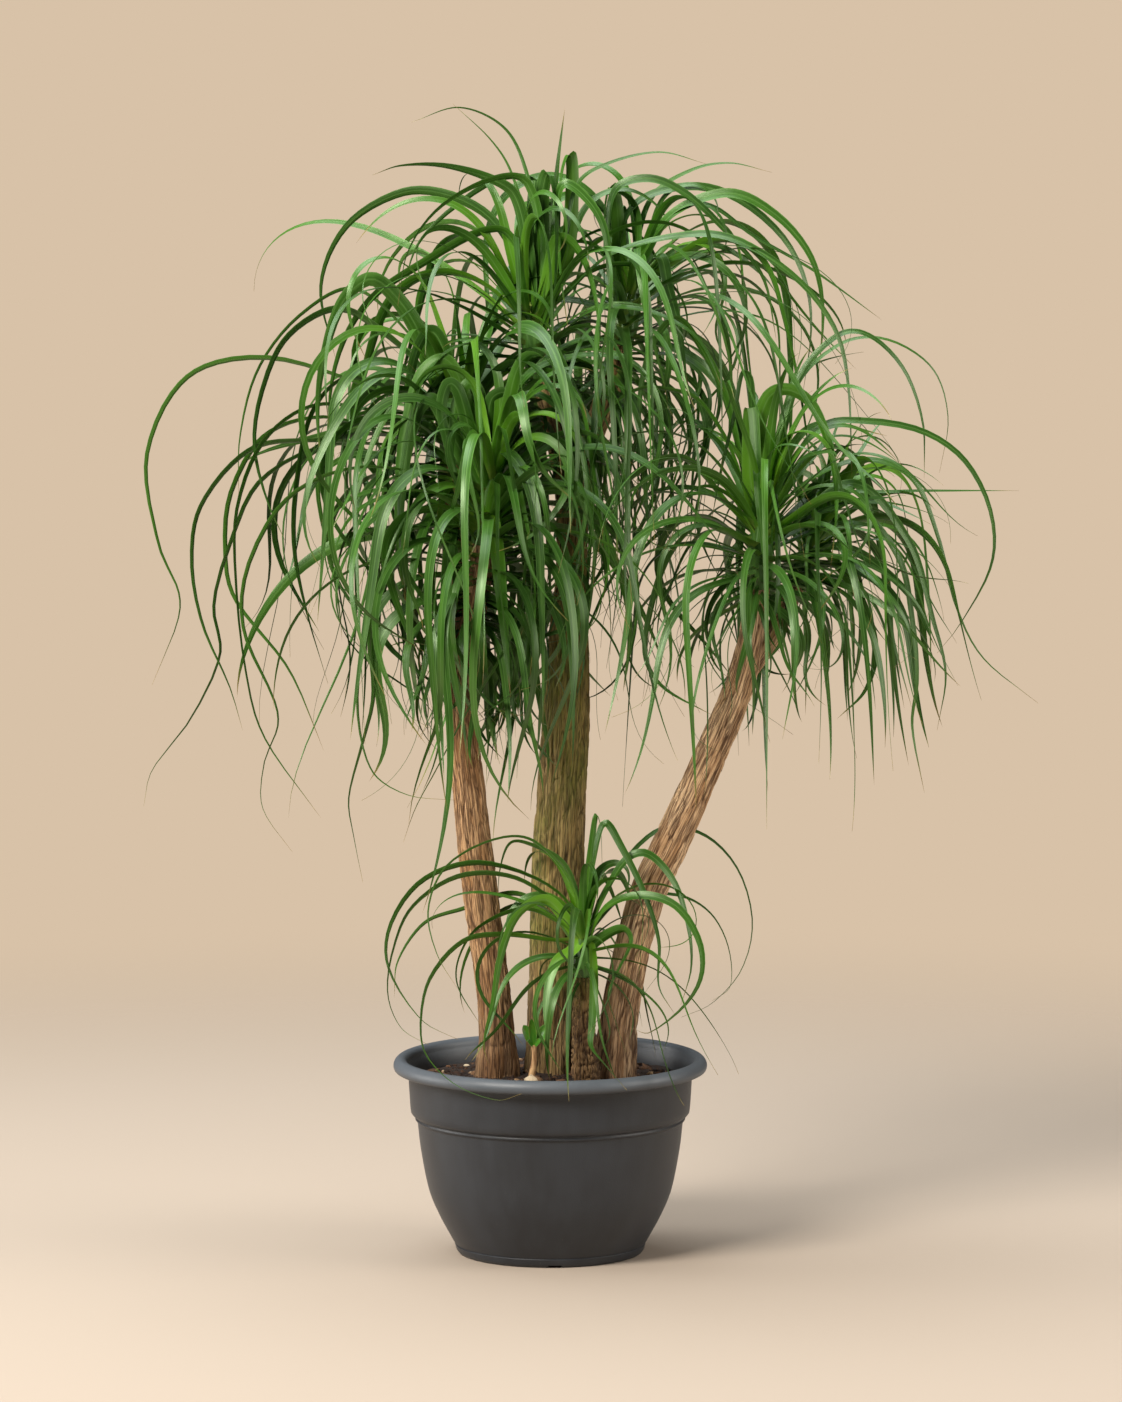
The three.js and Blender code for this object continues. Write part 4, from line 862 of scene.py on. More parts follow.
def bladePatch(leaves, shape):
    # half width: full by a seventh, then 1 - s^taper; a channel down the middle, deepest at the
    # clasping base; the section is carried along the line, turning as little as it can
    line = np.array([leaf["line"] for leaf in leaves])
    length = lengthOf(line)[:, None]
    slimFrom, slimOver, slimTo = shape["slimming"]
    own = {key: np.array([leaf[key] for leaf in leaves])[:, None] for key in ("width", "turn", "age")}
    width = own["width"] * shape["wider"] * mix(1, slimTo, easeIn((length - slimFrom) / slimOver))
    draws = np.random.RandomState(len(leaves)).rand(len(leaves), 4)
    samples = line.shape[1]
    ahead = np.empty_like(line)
    ahead[:, 1:-1] = line[:, 2:] - line[:, :-2]
    ahead[:, 0], ahead[:, -1] = line[:, 1] - line[:, 0], line[:, -1] - line[:, -2]
    ahead = unit(ahead)
    steps = unit(np.diff(line, axis=1))
    reach = line[:, -1] - line[:, 0]
    level = unit(np.stack([-reach[:, 1] + 1e-6, reach[:, 0], np.zeros(len(leaves))], axis=1))
    side = unit(np.cross(steps[:, :-1], steps[:, 1:]).sum(axis=1) + 0.05 * level)
    side = np.array([leaf.get("side", bent) for leaf, bent in zip(leaves, side)])
    sides = np.empty_like(line)
    for k in range(samples):
        side = unit(side - ahead[:, k] * dot(side, ahead[:, k]))
        sides[:, k] = side
    bend = np.minimum(0.1, np.linalg.norm(np.diff(ahead, axis=1), axis=-1) / 2.5)
    effort = np.cumsum(np.pad(1 / leafSamples + bend, ((0, 0), (1, 0))), axis=1)
    goals = np.linspace(0, 1, shape["rings"])
    places = np.array([np.interp(goals * e[-1], e, np.arange(samples)) for e in effort])
    share = places / (samples - 1)
    centre, ahead = sample(line, places), unit(sample(ahead, places))
    side = sample(sides, places)
    side = unit(side - ahead * dot(side, ahead))
    waver = shape["waver"] * np.sin((2 + 5 * draws[:, :1]) * share + 6 * draws[:, 1:2]) * share
    roll = (own["turn"] * np.minimum(1, share * shape["rolled"]) + waver)[..., None]
    up = np.cross(ahead, side)
    across = side * np.cos(roll) + up * np.sin(roll)
    normal = np.cross(ahead, across)
    base = np.exp(-share * shape["clasp"])
    taper = np.minimum(1, shape["rootWidth"] + share * shape["widening"])
    taper *= np.maximum(1 - share ** shape["taper"], 0) ** shape["blunt"]
    taper *= 1 + shape["claspWider"] * base
    half = np.maximum(width / 2 * taper, shape["tipHalf"] * (1.2 - share))[..., None, None]
    t = shape["across"][None, None, :, None]
    channel = shape["channel"] * (1 - shape["flatter"] * share) + shape["baseChannel"] * base
    thick = mix(*shape["thickness"], share)[..., None, None] * (1 - t**2)
    above = 1 - 2 * shape["under"][None, None, :, None]
    out = half * channel[..., None, None] * np.abs(t) ** shape["hollow"] + above * thick / 2
    points = centre[:, :, None] + across[:, :, None] * half * t + normal[:, :, None] * out
    count, rings, around = points.shape[:3]
    ends = np.stack([centre[:, 0], centre[:, -1] + ahead[:, -1] * 2], axis=1)
    points = np.concatenate([points.reshape(count, -1, 3), ends], axis=1)

    def spread(values, atEnds):
        full = np.broadcast_to(values, (count, rings, around)).reshape(count, -1)
        return np.concatenate([full, np.broadcast_to(atEnds, (count, 2))], axis=1).ravel()

    def forEach(values):
        return np.repeat(values, points.shape[1])

    along = spread(share[..., None], [[0, 1]])
    sideway, number = spread((half * t)[..., 0], 0), forEach(np.arange(count))
    flow = np.stack([sideway, along * forEach(length), number * shape["apart"]], axis=1)
    return patch(
        points, [faces[:, ::-1] for faces in tubeFaces(rings, around, count)],
        flow=flow * millimetre, along=along, edge=np.abs(spread(t[..., 0], 0)),
        under=spread(shape["under"], 0), tone=forEach(draws[:, 2]), age=forEach(own["age"]),
    )


flareHeight = 70  # how far from the soil a trunk's lobed foot reaches


# limbs are smooth tubes through the stations, with relief worked out on their skin
def limbGrid(path, around, step, lobes=0, flare=0.0):
    # places on the tube, with the straightened-out place of each point for the bark's pattern
    path = np.array(path, float)
    length = lengthOf(path[:, :3])
    line = smoothLine(path, round(length / step))
    centre, radius = line[:, :3], line[:, 3]
    ahead = unit(np.gradient(centre, axis=0))
    east = unit(np.array([1.0, 0, 0]) - ahead * ahead[:, :1])
    north = np.cross(ahead, east)
    angle = turns(around)
    out = east[:, None] * np.cos(angle)[None, :, None] + north[:, None] * np.sin(angle)[None, :, None]
    foot = np.maximum(0, 1 - np.abs(centre[:, 2:] - soilLevel) / flareHeight)
    lobe = 1 + flare * foot * np.cos(lobes * angle + 0.8)
    along = np.linspace(0, length, len(line))
    return {
        "centre": centre, "out": out, "radius": radius[:, None] * lobe,
        "share": np.broadcast_to(angle / (2 * math.pi), (len(line), around)),
        "along": np.broadcast_to(along[:, None], (len(line), around)),
        "size": float(radius.mean()),
    }


def limbPatch(grid, raised, **values):
    # each point stands out from the middle line by the radius and the relief
    rows, around = grid["share"].shape
    points = grid["centre"][:, None] + grid["out"] * (grid["radius"] + raised)[..., None]
    points = np.vstack([points.reshape(-1, 3), grid["centre"][[0, -1]]])
    flow = onCircle(grid["size"], grid["share"] * 2 * math.pi, grid["along"]).reshape(-1, 3)
    flow = np.vstack([flow, np.zeros((2, 3))]) * millimetre
    spread = {}
    for key, value in values.items():
        spread[key] = np.r_[np.broadcast_to(value, (rows, around)).ravel(), 0.5, 0.5]
    return patch(points, tubeFaces(rows, around), flow=flow, **spread)


# How wide and long a bark's ribs and plates are, how much the cracks between plates cut through
# the ribs, how deep the furrows go, the moss (how much, from what height and up to which), and the
# colours from dark to pale.
barks = {
    "trunk_left": {
        "rib": (4.4, 46), "plate": (8, 34), "flaky": 0.4, "depth": 1.5,
        "moss": (0.25, 560, 900), "colours": ("4a2d14", "94693e", "c79f74"),
    },
    "trunk_centre": {
        "rib": (4.4, 44), "plate": (7, 30), "flaky": 0.35, "depth": 1.9,
        "moss": (0.68, 230, 900), "colours": ("33220a", "907140", "c9aa72"),
    },
    "trunk_right": {
        "rib": (5.4, 56), "plate": (10, 46), "flaky": 0.6, "depth": 1.9,
        "moss": (0.12, 230, 420), "colours": ("4c2e16", "ab8055", "e2bf96"),
    },
    "offset_stem": {
        "rib": (5.0, 12), "plate": (9, 11), "flaky": 0.9, "depth": 3.0,
        "moss": (0.9, 232, 420), "colours": ("2a1c0c", "7a5a34", "b08c5c"),
    },
}
relief = {
    "around": 1.25, "along": 1.9,  # between one point and the next
    "ribEdge": 0.24, "plateEdge": 0.26,  # how soon a furrow and a crack rise to the full height
    "warp": (24, 8, 5),  # furrows stray sideways: each this long, so many round, so far in all
    "ropes": (110, 17, 2.4), "rings": (7, 5, 0.4),  # length, width or number round, and height
    "mossEdges": (80, 160), "mossClumps": (60, 5),  # how it fades down and up; length and number round
    "footMoss": (250, 60, 0.15),  # moss low on every trunk: below this height, fading, and how much
}


def barkFinish(name, bark):
    # furrows dark, ribs pale and streaked along the grain, moss by its own mask, and painted shade darkening
    # the foot near the soil
    dark, plain, pale = bark["colours"]
    finish = Finish(name + "_bark", Roughness=0.88)
    high, plate, moss = finish.value("high"), finish.value("plate"), finish.value("moss")
    fibre = finish.noise(finish.flow(800, 800, 38))
    lines = abs(finish.noise(finish.flow(330, 330, 16), detail=2) - 0.5).rise(0.0, 0.07)
    grain = finish.noise(finish.flow(1300, 1300, 80), detail=2)
    patches = finish.noise(finish.flow(26, 26, 9), detail=2)
    wood = finish.mixed((fibre * 0.75 + plate * 0.3 + patches * 0.5).rise(0.5, 1.0), plain, pale)
    wood = finish.mixed(lines * 0.75 + 0.25, dark, wood)
    wood = finish.mixed((grain + fibre * 0.4).rise(0.4, 0.72) * 0.5 + 0.5, dark, wood)
    wood = finish.mixed((high + fibre * 0.3).rise(0.08, 0.5) * 0.85 + 0.15, dark, wood)
    green = finish.mixed(grain.rise(0.35, 0.7), "3f4c0c", "7f8c2e")
    wood = finish.mixed((moss * (patches * 0.7 + fibre * 0.6)).rise(0.2, 0.75) * 0.7, wood, green)
    wood = finish.mixed(finish.height().rise(0.34, 0.2) * 0.5, wood, "341c0c")  # painted shade: darker near the soil, where the leaves above shade the trunk's foot
    bump = finish.bump(lines * 0.8 + fibre * 0.7 + grain * 0.4, 0.0012)
    return finish.feed(Base_Color=wood, Normal=bump)


def trunkPiece(name):
    trunk, bark = trunks[name], barks[name]
    patches = []
    for number, path in enumerate([trunk["main"], *trunk["branches"]]):
        girth = 2 * math.pi * np.mean([station[3] for station in path])
        shape = (trunk["lobes"], trunk["flare"]) if number == 0 else (0, 0)
        grid = limbGrid(path, round(girth / relief["around"]), relief["along"], *shape)
        share, along = grid["share"], grid["along"]
        seed = 5 + number + 10 * len(name)
        long, count, far = relief["warp"]
        warp = (waves(share, along / long, count, seed) - 0.5) * far / girth
        wide, long = bark["rib"]
        level = furrows(share + warp, along, round(girth / wide), long, seed)
        wide, long = bark["plate"]
        crack, plate = plates(share + warp, along / long, round(girth / wide), seed)
        ribs, flakes = easeIn(level / relief["ribEdge"]), easeIn(crack / relief["plateEdge"])
        high = ribs * mix(1, flakes, bark["flaky"])
        raised = bark["depth"] * (high - 0.7 + 0.5 * (plate - 0.5) * high)
        long, wide, tall = relief["ropes"]
        raised += tall * (waves(share, along / long, max(4, round(girth / wide)), seed + 1) - 0.5)
        long, count, tall = relief["rings"]
        raised += tall * (waves(share, along / long, count, seed + 2) - 0.5)
        z = grid["centre"][:, 2][:, None]
        (strength, low, top), (down, up) = bark["moss"], relief["mossEdges"]
        moss = strength * easeIn((z - low) / down) * easeIn((top - z) / up)
        below, fade, foot = relief["footMoss"]
        moss = moss + foot * easeIn((below - z) / fade)
        long, count = relief["mossClumps"]
        moss = moss * (0.5 + waves(share, along / long, count, seed + 3))
        patches.append(limbPatch(grid, raised, high=high, plate=plate, moss=moss))
    putPiece(name + "_wood", patches, barkFinish(name, bark), name)


pot = {
    "around": 192, "sharper": 42,
    "foot": [[0, 1.6], [60, 1.6], [92, 1.6], [94.5, 0], [100, 0], [102.6, 0.8], [105.2, 4.2], [106.2, 8.4],
             [106.6, 9.4], [105.9, 10.2], [106.4, 11.4], [108.6, 14]],
    "body": [[108.6, 14], [124, 42.6], [135.6, 71], [144.4, 115], [148.2, 147.2]],
    "bead": [[148.2, 147.2], [148.6, 149.2], [150.6, 150.4], [150.9, 152], [150.2, 153.4], [150.6, 154.6],
             [153.4, 156.2], [155.6, 159]],
    "collar": [[155.6, 159], [156.4, 166], [157.9, 190], [158.5, 202.4]],
    "rim": [[158.5, 202.4], [159.6, 204.2], [164, 204.6], [170.4, 204.7], [173.6, 206.2], [175, 209.4],
            [174.9, 213], [173, 217], [169.6, 219.7], [166, 220], [162.6, 218.8], [160.4, 216], [159.2, 210]],
    "inside": [[159.2, 210], [155.7, 200], [151.6, 157], [146, 149], [141, 113], [132.5, 72], [120, 41],
               [106.4, 14], [100, 6]],
    "floor": [[100, 6], [96, 5], [0, 5]],
    "curves": {"body": 26, "bead": 16, "collar": 8, "rim": 34, "inside": 34},  # steps along each
    "drain": {"count": 5, "radius": 6, "circle": 70, "low": -8, "high": 12, "around": 32},
    "slot": {"count": 4, "width": 15, "height": 3, "depth": 12, "circle": 106, "turn": 0.05},
}


def lathe(profile, around):
    # the outline of radius and height, carried once round; its two ends are on the axis
    profile = np.array(profile, float)
    rings = onCircle(profile[1:-1, :1], turns(around), profile[1:-1, 1:])
    ends = [[0, 0, profile[0, 1]], [0, 0, profile[-1, 1]]]
    return np.vstack([rings.reshape(-1, 3), ends]), len(profile) - 2


def curved(points, samples):
    line = smoothLine(np.insert(np.array(points, float), 1, 0, axis=1), samples)
    return line[:, [0, 2]]


def cutter(points, faces):
    mesh = bpy.data.meshes.new("cutter")
    mesh.from_pydata((np.array(points) * millimetre).tolist(), [], faces)
    made = bpy.data.objects.new("cutter", mesh)
    bpy.context.scene.collection.objects.link(made)
    return made


def cut(piece, tools):
    # takes each tool's shape out of the piece, and the tools away
    for tool in tools:
        modifier = piece.modifiers.new("cut", "BOOLEAN")
        modifier.operation, modifier.object, modifier.solver = "DIFFERENCE", tool, "EXACT"
    cutMesh = bpy.data.meshes.new_from_object(piece.evaluated_get(bpy.context.evaluated_depsgraph_get()))
    piece.modifiers.clear()
    piece.data = cutMesh
    for tool in tools:
        bpy.data.objects.remove(tool)


def potFinish():
    finish = Finish("pot_plastic", Specular_IOR_Level=0.45)
    clouds = finish.noise(finish.place(9, 9, 7), detail=4)
    grain = finish.noise(finish.place(900, 900, 900), detail=2)
    drag = finish.noise(finish.place(70, 70, 6))
    dust = finish.noise(finish.place(240, 240, 240))
    plastic = finish.mixed((clouds * 0.7 + drag * 0.3).rise(0.3, 0.7), "23262b", "2f3339")
    # painted highlight: the rim is lighter near its top, standing in for the sheen it catches
    plastic = finish.mixed(finish.height().rise(0.2, 0.214) * 0.7, plastic, "636a72")
    plastic = finish.mixed((dust - 0.7).rise(0, 0.1) * 0.3, plastic, "6a6660")
    rough = clouds * 0.12 + drag * 0.1 + 0.33
    return finish.feed(Base_Color=plastic, Roughness=rough, Normal=finish.bump(grain + drag * 0.5, 0.00012))


def potPiece():
    curves = [curved(pot[part], samples)[:-1] for part, samples in pot["curves"].items()]
    points, rings = lathe(np.vstack([pot["foot"][:-1], *curves, pot["floor"]]), pot["around"])
    shell = patch(points, tubeFaces(rings, pot["around"]))
    piece = putPiece("pot_shell", [shell], potFinish(), "pot", pot["sharper"])
    drain, slot = pot["drain"], pot["slot"]
    radius, low, high = drain["radius"], drain["low"], drain["high"]
    tools = []
    for a in turns(drain["count"]):
        hole, ringCount = lathe([[0, low], [radius, low], [radius, high], [0, high]], drain["around"])
        hole += onCircle(drain["circle"], a, 0)
        quads, ends = tubeFaces(ringCount, drain["around"])
        tools.append(cutter(hole, [*quads.tolist(), *ends.tolist()]))
    for a in turns(slot["count"]) + slot["turn"]:
        corners = np.array([[x, y, z] for x in (-1, 1) for y in (-1, 1) for z in (-1, 1)], float)
        corners *= [slot["width"] / 2, slot["depth"], slot["height"]]
        corners[:, 1] -= slot["circle"]
        spun = corners @ np.array([[math.cos(a), math.sin(a), 0], [-math.sin(a), math.cos(a), 0], [0, 0, 1]])
        faces = [[0, 1, 3, 2], [4, 6, 7, 5], [0, 4, 5, 1], [2, 3, 7, 6], [0, 2, 6, 4], [1, 5, 7, 3]]
        tools.append(cutter(spun, faces))
    cut(piece, tools)


soil = {
    "around": 200, "rings": 96, "mound": 5, "slope": 0.045, "clod": 1.6, "wallGap": 0.9, "edge": 154,
    "rough": [(2.6, 9, 46), (1.8, 4, 110)],  # height, length outwards and number round
    "foot": (98, 5.4), "below": 8,  # where it meets the pot's floor, and how far below its level the wall
    "middle": 1.5, "calm": 25,  # the innermost ring, and where the roughness fades towards it
    "offcut": (-20, -86, 206, 11.5),  # a pale chip of husk in front of the sprout, and its size
    "seed": 9,
}
lump = {
    "size": 1 / 1.9, "rough": (0.75, 0.5), "squash": (0.6, 0.8),  # the least, and how much more
    "tilt": 1.2,  # radians from side to side
}
# What lies on the soil: crumbs, chips of husk and pale grains. power: how few are large. sink: how
# deep they lie. shown: their size by that of their place. tone: the least, how much more, its power.
litter = [
    {
        "count": 1500, "size": (0.8, 3.4), "power": 2, "sink": 0.1, "shown": 1, "flat": 1,
        "tone": (0.12, 0.6, 1.6),
    },
    {
        "count": 150, "size": (4, 11), "power": 1.5, "sink": -0.05, "shown": 0.8, "flat": 0.35,
        "tone": (0.35, 0.5, 1),
    },
    {
        "count": 46, "size": (1.2, 3.2), "power": 1, "sink": -0.1, "shown": 1, "flat": 1,
        "tone": (0.88, 0.12, 1),
    },
]


def soilHeight(radius, angle):
    # mounded at the trunks, low at the wall, with clods by two crossed waves
    clods = np.sin(radius * 0.19 + angle * 5) * np.cos(angle * 3 + radius * 0.07)
    return soilLevel + soil["mound"] - radius * soil["slope"] + soil["clod"] * clods


def lumps(places, sizes, draws, flat):
    # twelve-cornered lumps, each squashed, turned and roughened its own way
    golden = (1 + 5**0.5) / 2
    corners = np.array([[-1, golden, 0], [1, golden, 0], [-1, -golden, 0], [1, -golden, 0], [0, -1, golden],
                        [0, 1, golden], [0, -1, -golden], [0, 1, -golden], [golden, 0, -1], [golden, 0, 1],
                        [-golden, 0, -1], [-golden, 0, 1]]) * lump["size"]
    faces = np.array([[0, 11, 5], [0, 5, 1], [0, 1, 7], [0, 7, 10], [0, 10, 11], [1, 5, 9], [5, 11, 4],
                      [11, 10, 2], [10, 7, 6], [7, 1, 8], [3, 9, 4], [3, 4, 2], [3, 2, 6], [3, 6, 8],
                      [3, 8, 9], [4, 9, 5], [2, 4, 11], [6, 2, 10], [8, 6, 7], [9, 8, 1]])
    count = len(places)
    (least, more), (thin, wider) = lump["rough"], lump["squash"]
    shapes = corners[None] * (least + more * draws.rand(count, len(corners), 1))
    shapes = shapes * (thin + wider * draws.rand(count, 1, 3)) * [1, 1, flat]
    spin = draws.rand(count, 1) * 2 * math.pi
    tilt = (draws.rand(count, 1) - 0.5) * lump["tilt"]
    x, y, z = shapes[..., 0], shapes[..., 1], shapes[..., 2]
    x, z = x * np.cos(tilt) - z * np.sin(tilt), x * np.sin(tilt) + z * np.cos(tilt)
    x, y = x * np.cos(spin) - y * np.sin(spin), x * np.sin(spin) + y * np.cos(spin)
    points = np.stack([x, y, z], -1) * sizes[:, None, None] + places[:, None]
    return points, (faces[None] + np.arange(count)[:, None, None] * len(corners)).reshape(-1, 3)


def scattered(count, draws, sink, sizes):
    radius = np.sqrt(draws.rand(count)) * (soil["edge"] - 4)
    angle = draws.rand(count) * 2 * math.pi
    return onCircle(radius, angle, soilHeight(radius, angle) - sink * sizes)


def soilFinish():
    finish = Finish("potting_soil", Roughness=0.93)
    tone = finish.value("tone")
    fine = finish.noise(finish.place(420, 420, 420), detail=4)
    broad = finish.noise(finish.place(45, 45, 45))
    earth = finish.mixed((fine * 0.6 + broad * 0.6).rise(0.35, 0.85), "140c08", "38251a")
    tones = [(0.0, "1a0f0a"), (0.45, "3a2417"), (0.75, "6b4a30"), (0.9, "a98a66"), (1.0, "d9cbb0")]
    bits = finish.ramp(tone, tones)
    colour = finish.mixed(tone.rise(0.0, 0.12), earth, bits)
    return finish.feed(Base_Color=colour, Normal=finish.bump(fine + broad, 0.0016))


def soilPiece():
    draws = np.random.RandomState(soil["seed"])
    foot, top = soil["foot"], soilLevel - soil["below"]
    wall = [(r - soil["wallGap"], z) for r, z in reversed(pot["inside"]) if z < top]
    wall = np.array([foot, *wall])
    radius = np.r_[wall[:, 0], np.linspace(soil["edge"], soil["middle"], soil["rings"])]
    r, a = np.meshgrid(radius, turns(soil["around"]), indexing="ij")
    rough = 0
    for seed, (tall, long, count) in enumerate(soil["rough"], 1):
        rough = rough + tall * (waves(a / (2 * math.pi), r / long, count, seed) - 0.5)
    height = soilHeight(r, a) + rough * easeIn(r / soil["calm"])
    height[:len(wall)] = wall[:, 1:]
    points = onCircle(r, a, height).reshape(-1, 3)
    points = np.vstack([points, [[0, 0, foot[1]], [0, 0, soilHeight(0.0, 0.0)]]])
    patches = [patch(points, tubeFaces(len(radius), soil["around"]), tone=0.0)]
    for kind in litter:
        count, (least, more, power) = kind["count"], kind["tone"]
        sizes = mix(*kind["size"], draws.rand(count) ** kind["power"])
        places = scattered(count, draws, kind["sink"], sizes)
        lumpPoints, faces = lumps(places, sizes * kind["shown"], draws, kind["flat"])
        tones = least + more * draws.rand(count) ** power
        patches.append(patch(lumpPoints, [faces], tone=np.repeat(tones, lumpPoints.shape[1])))
    *place, size = soil["offcut"]
    huskPoints, faces = lumps(np.array([place], float), np.array([size]), draws, 0.6)
    patches.append(patch(huskPoints, [faces], tone=0.96))
    putPiece("soil_surface", patches, soilFinish(), "soil")


sprout = {
    "x": -18, "y": -62, "foot": 172, "top": 243, "lean": 5, "radius": 3.0, "straight": 20,
    "around": 40, "step": 1.0, "relief": (7, 7, 0.9),  # length, number round and height
}
# each leaf's heading and rise in degrees, its length and its width, before the tuft leans to the front
tuft = {
    "bend": 0.35, "lean": 48, "steps": 20, "sharper": 60,
    "leaves": [[50, 24, 29, 14], [122, 26, 26, 12], [99, 50, 33, 9], [16, 44, 13, 8], [166, 46, 12, 8]],
}


def sproutPieces():
    x, y, lean, radius = sprout["x"], sprout["y"], sprout["lean"], sprout["radius"]
    path = [[x - lean, y, sprout["foot"], radius + 2], [x - lean, y, soilLevel, radius + 1.5],
            [x, y, sprout["top"] - sprout["straight"], radius], [x, y, sprout["top"], radius]]
    grid = limbGrid(path, sprout["around"], sprout["step"])
    long, count, tall = sprout["relief"]
    raised = tall * (waves(grid["share"], grid["along"] / long, count, 3) - 0.5)
    finish = Finish("sprout_bark", Roughness=0.75)
    grain = finish.noise(finish.flow(700, 700, 90), detail=4)
    wood = finish.mixed(grain.rise(0.3, 0.7), "8a5f3a", "cfa878")
    stubFinish = finish.feed(Base_Color=wood, Normal=finish.bump(grain, 0.0006))
    putPiece("sprout_stem", [limbPatch(grid, raised)], stubFinish, "sprout_stub")
    leaves, steps = [], tuft["steps"]
    middle = np.array([x, y, sprout["top"] - 1.0])
    share = (np.arange(steps) + 0.5) / steps
    c, s = math.cos(math.radians(tuft["lean"])), math.sin(math.radians(tuft["lean"]))
    leaning = np.array([[1, 0, 0], [0, c, s], [0, -s, c]])
    for heading, rise, length, width in tuft["leaves"]:
        ahead = towards(math.radians(rise) + tuft["bend"] * share**2, math.radians(heading))
        line = walked(middle, ahead @ leaning, length / steps)
        leaves.append({"line": line, "width": width, "up": leaning[2]})
    finish = Finish("sprout_leaf", Specular_IOR_Level=0.5, Subsurface_Weight=0.15, Subsurface_Scale=0.004)
    veins = finish.noise(finish.flow(300, 120, 1), detail=2)
    edge = finish.value("edge")
    green = finish.mixed((veins + edge * 0.3).rise(0.3, 0.9), "4f8524", "2f6a14")
    # painted highlight: paler along the midrib and at the margins
    green = finish.mixed(edge.rise(0.22, 0.02) * 0.6 + edge.rise(0.75, 1.0) * 0.4, green, "8fb860")
    waxy = finish.feed(Base_Color=green, Roughness=veins * 0.15 + 0.28, Normal=finish.bump(veins, 0.0004))
    patches = [roundLeaf(leaf) for leaf in leaves]
    putPiece("sprout_tuft", patches, waxy, "sprout_leaves", tuft["sharper"])


def roundLeaf(leaf):
    # a cupped oval with a round end: half width is full from 0.35 of the length, then (1 - s^4)^0.5
    line, rings = leaf["line"], len(leaf["line"])
    share = np.linspace(0, 1, rings)
    ahead = unit(np.gradient(line, axis=0))
    side = unit(np.cross(ahead, leaf["up"]))
    normal = np.cross(side, ahead)
    outline = np.minimum(1, share / 0.35) ** 0.7 * (1 - share**4) ** 0.5
    half = leaf["width"] / 2 * np.maximum(outline, 0.1)
    t = np.array([-1, -0.6, -0.2, 0.2, 0.6, 1, 0.6, 0.2, -0.2, -0.6])
    under = np.array([0, 0, 0, 0, 0, 0, 1, 1, 1, 1])
    out = half[:, None] * 0.4 * np.abs(t) ** 1.6 + (1 - 2 * under) * (1 - t**2) * 0.5
    points = line[:, None] + side[:, None] * (half[:, None] * t)[..., None] + normal[:, None] * out[..., None]
    points = np.vstack([points.reshape(-1, 3), line[:1], line[-1:]])
    sideway = np.r_[(half[:, None] * t).ravel(), 0, 0]
    lengthways = np.r_[np.repeat(share, len(t)), 0, 1] * 25
    flow = np.stack([sideway, lengthways, np.full(len(sideway), leaf["width"] * 8)], axis=1)
    edge = np.r_[np.broadcast_to(np.abs(t), (rings, len(t))).ravel(), 0, 0]
    return patch(points, tubeFaces(rings, len(t)), flow=flow * millimetre, edge=edge)


def leafFinish(name, fresh):
    # deep green with a waxy sheen, a warmer green underneath, darker on the older leaves and towards the
    # tips, and yellow-green on the young ones and towards the clasping base, partly painted light shining
    # through; pale streaks and edges are partly painted highlights
    finish = Finish(name + "_leaf", Specular_IOR_Level=0.75, Specular_Tint=shade("d2e8c4"))
    tone, age, along = finish.value("tone"), finish.value("age"), finish.value("along")
    under, edge = finish.value("under"), finish.value("edge")
    veins = finish.noise(finish.flow(1500, 9, 1), detail=2)
    bands = finish.noise(finish.flow(260, 16, 1), detail=2)
    upper = finish.mixed(tone, "153c06", "2f5e10")
    lower = finish.mixed(tone, "1c4504", "386b09")
    green = finish.mixed(under, upper, lower)
    green = finish.mixed((age * 0.8 + along * 0.5).rise(0.3, 1.1) * 0.55, green, "0c2c06")
    # pale streaks along the veins: partly the leaf's own veins, partly painted sheen
    green = finish.mixed((veins * 0.7 + bands * 0.5).rise(0.4, 0.85) * 0.4, green, "66953e")
    # yellow-green on the young leaves and towards the clasping base: partly their own colour, partly painted
    # light shining through the thin leaves
    inner = finish.mixed(tone, "3f7f10", "74aa22")
    young = (age * -1.5 + 0.5 * fresh + tone * 0.3 + 0.25 + (along * -1 + 0.3) * 1.5).rise(0.0, 0.9)
    green = finish.mixed(young * 0.85, green, inner)
    # paler at the margins and the midrib: partly the leaf's own midrib, partly painted highlight
    green = finish.mixed(edge.rise(0.8, 1.0) * 0.25 + edge.rise(0.16, 0.0) * 0.3, green, "7ca75c")
    green = finish.mixed((along * -1 + 0.09).rise(0, 0.09) * 0.7, green, "a7b85a")
    green = finish.mixed((along + tone * 0.05).rise(0.93, 1.03), green, "8a7440")
    rough = veins * 0.14 + under * 0.1 + 0.27
    return finish.feed(Base_Color=green, Roughness=rough, Normal=finish.bump(veins + bands * 0.4, 0.00018))


heart = {
    "around": 48, "rings": 40, "lift": 0.3,
    "places": [0, 0.18, 0.5, 0.8, 1], "widths": [0.86, 1.02, 0.9, 0.55, 0.2],  # up the heart
    "ridges": (8, 9, 0.07),  # number round, how far they wind in radians, and height
}


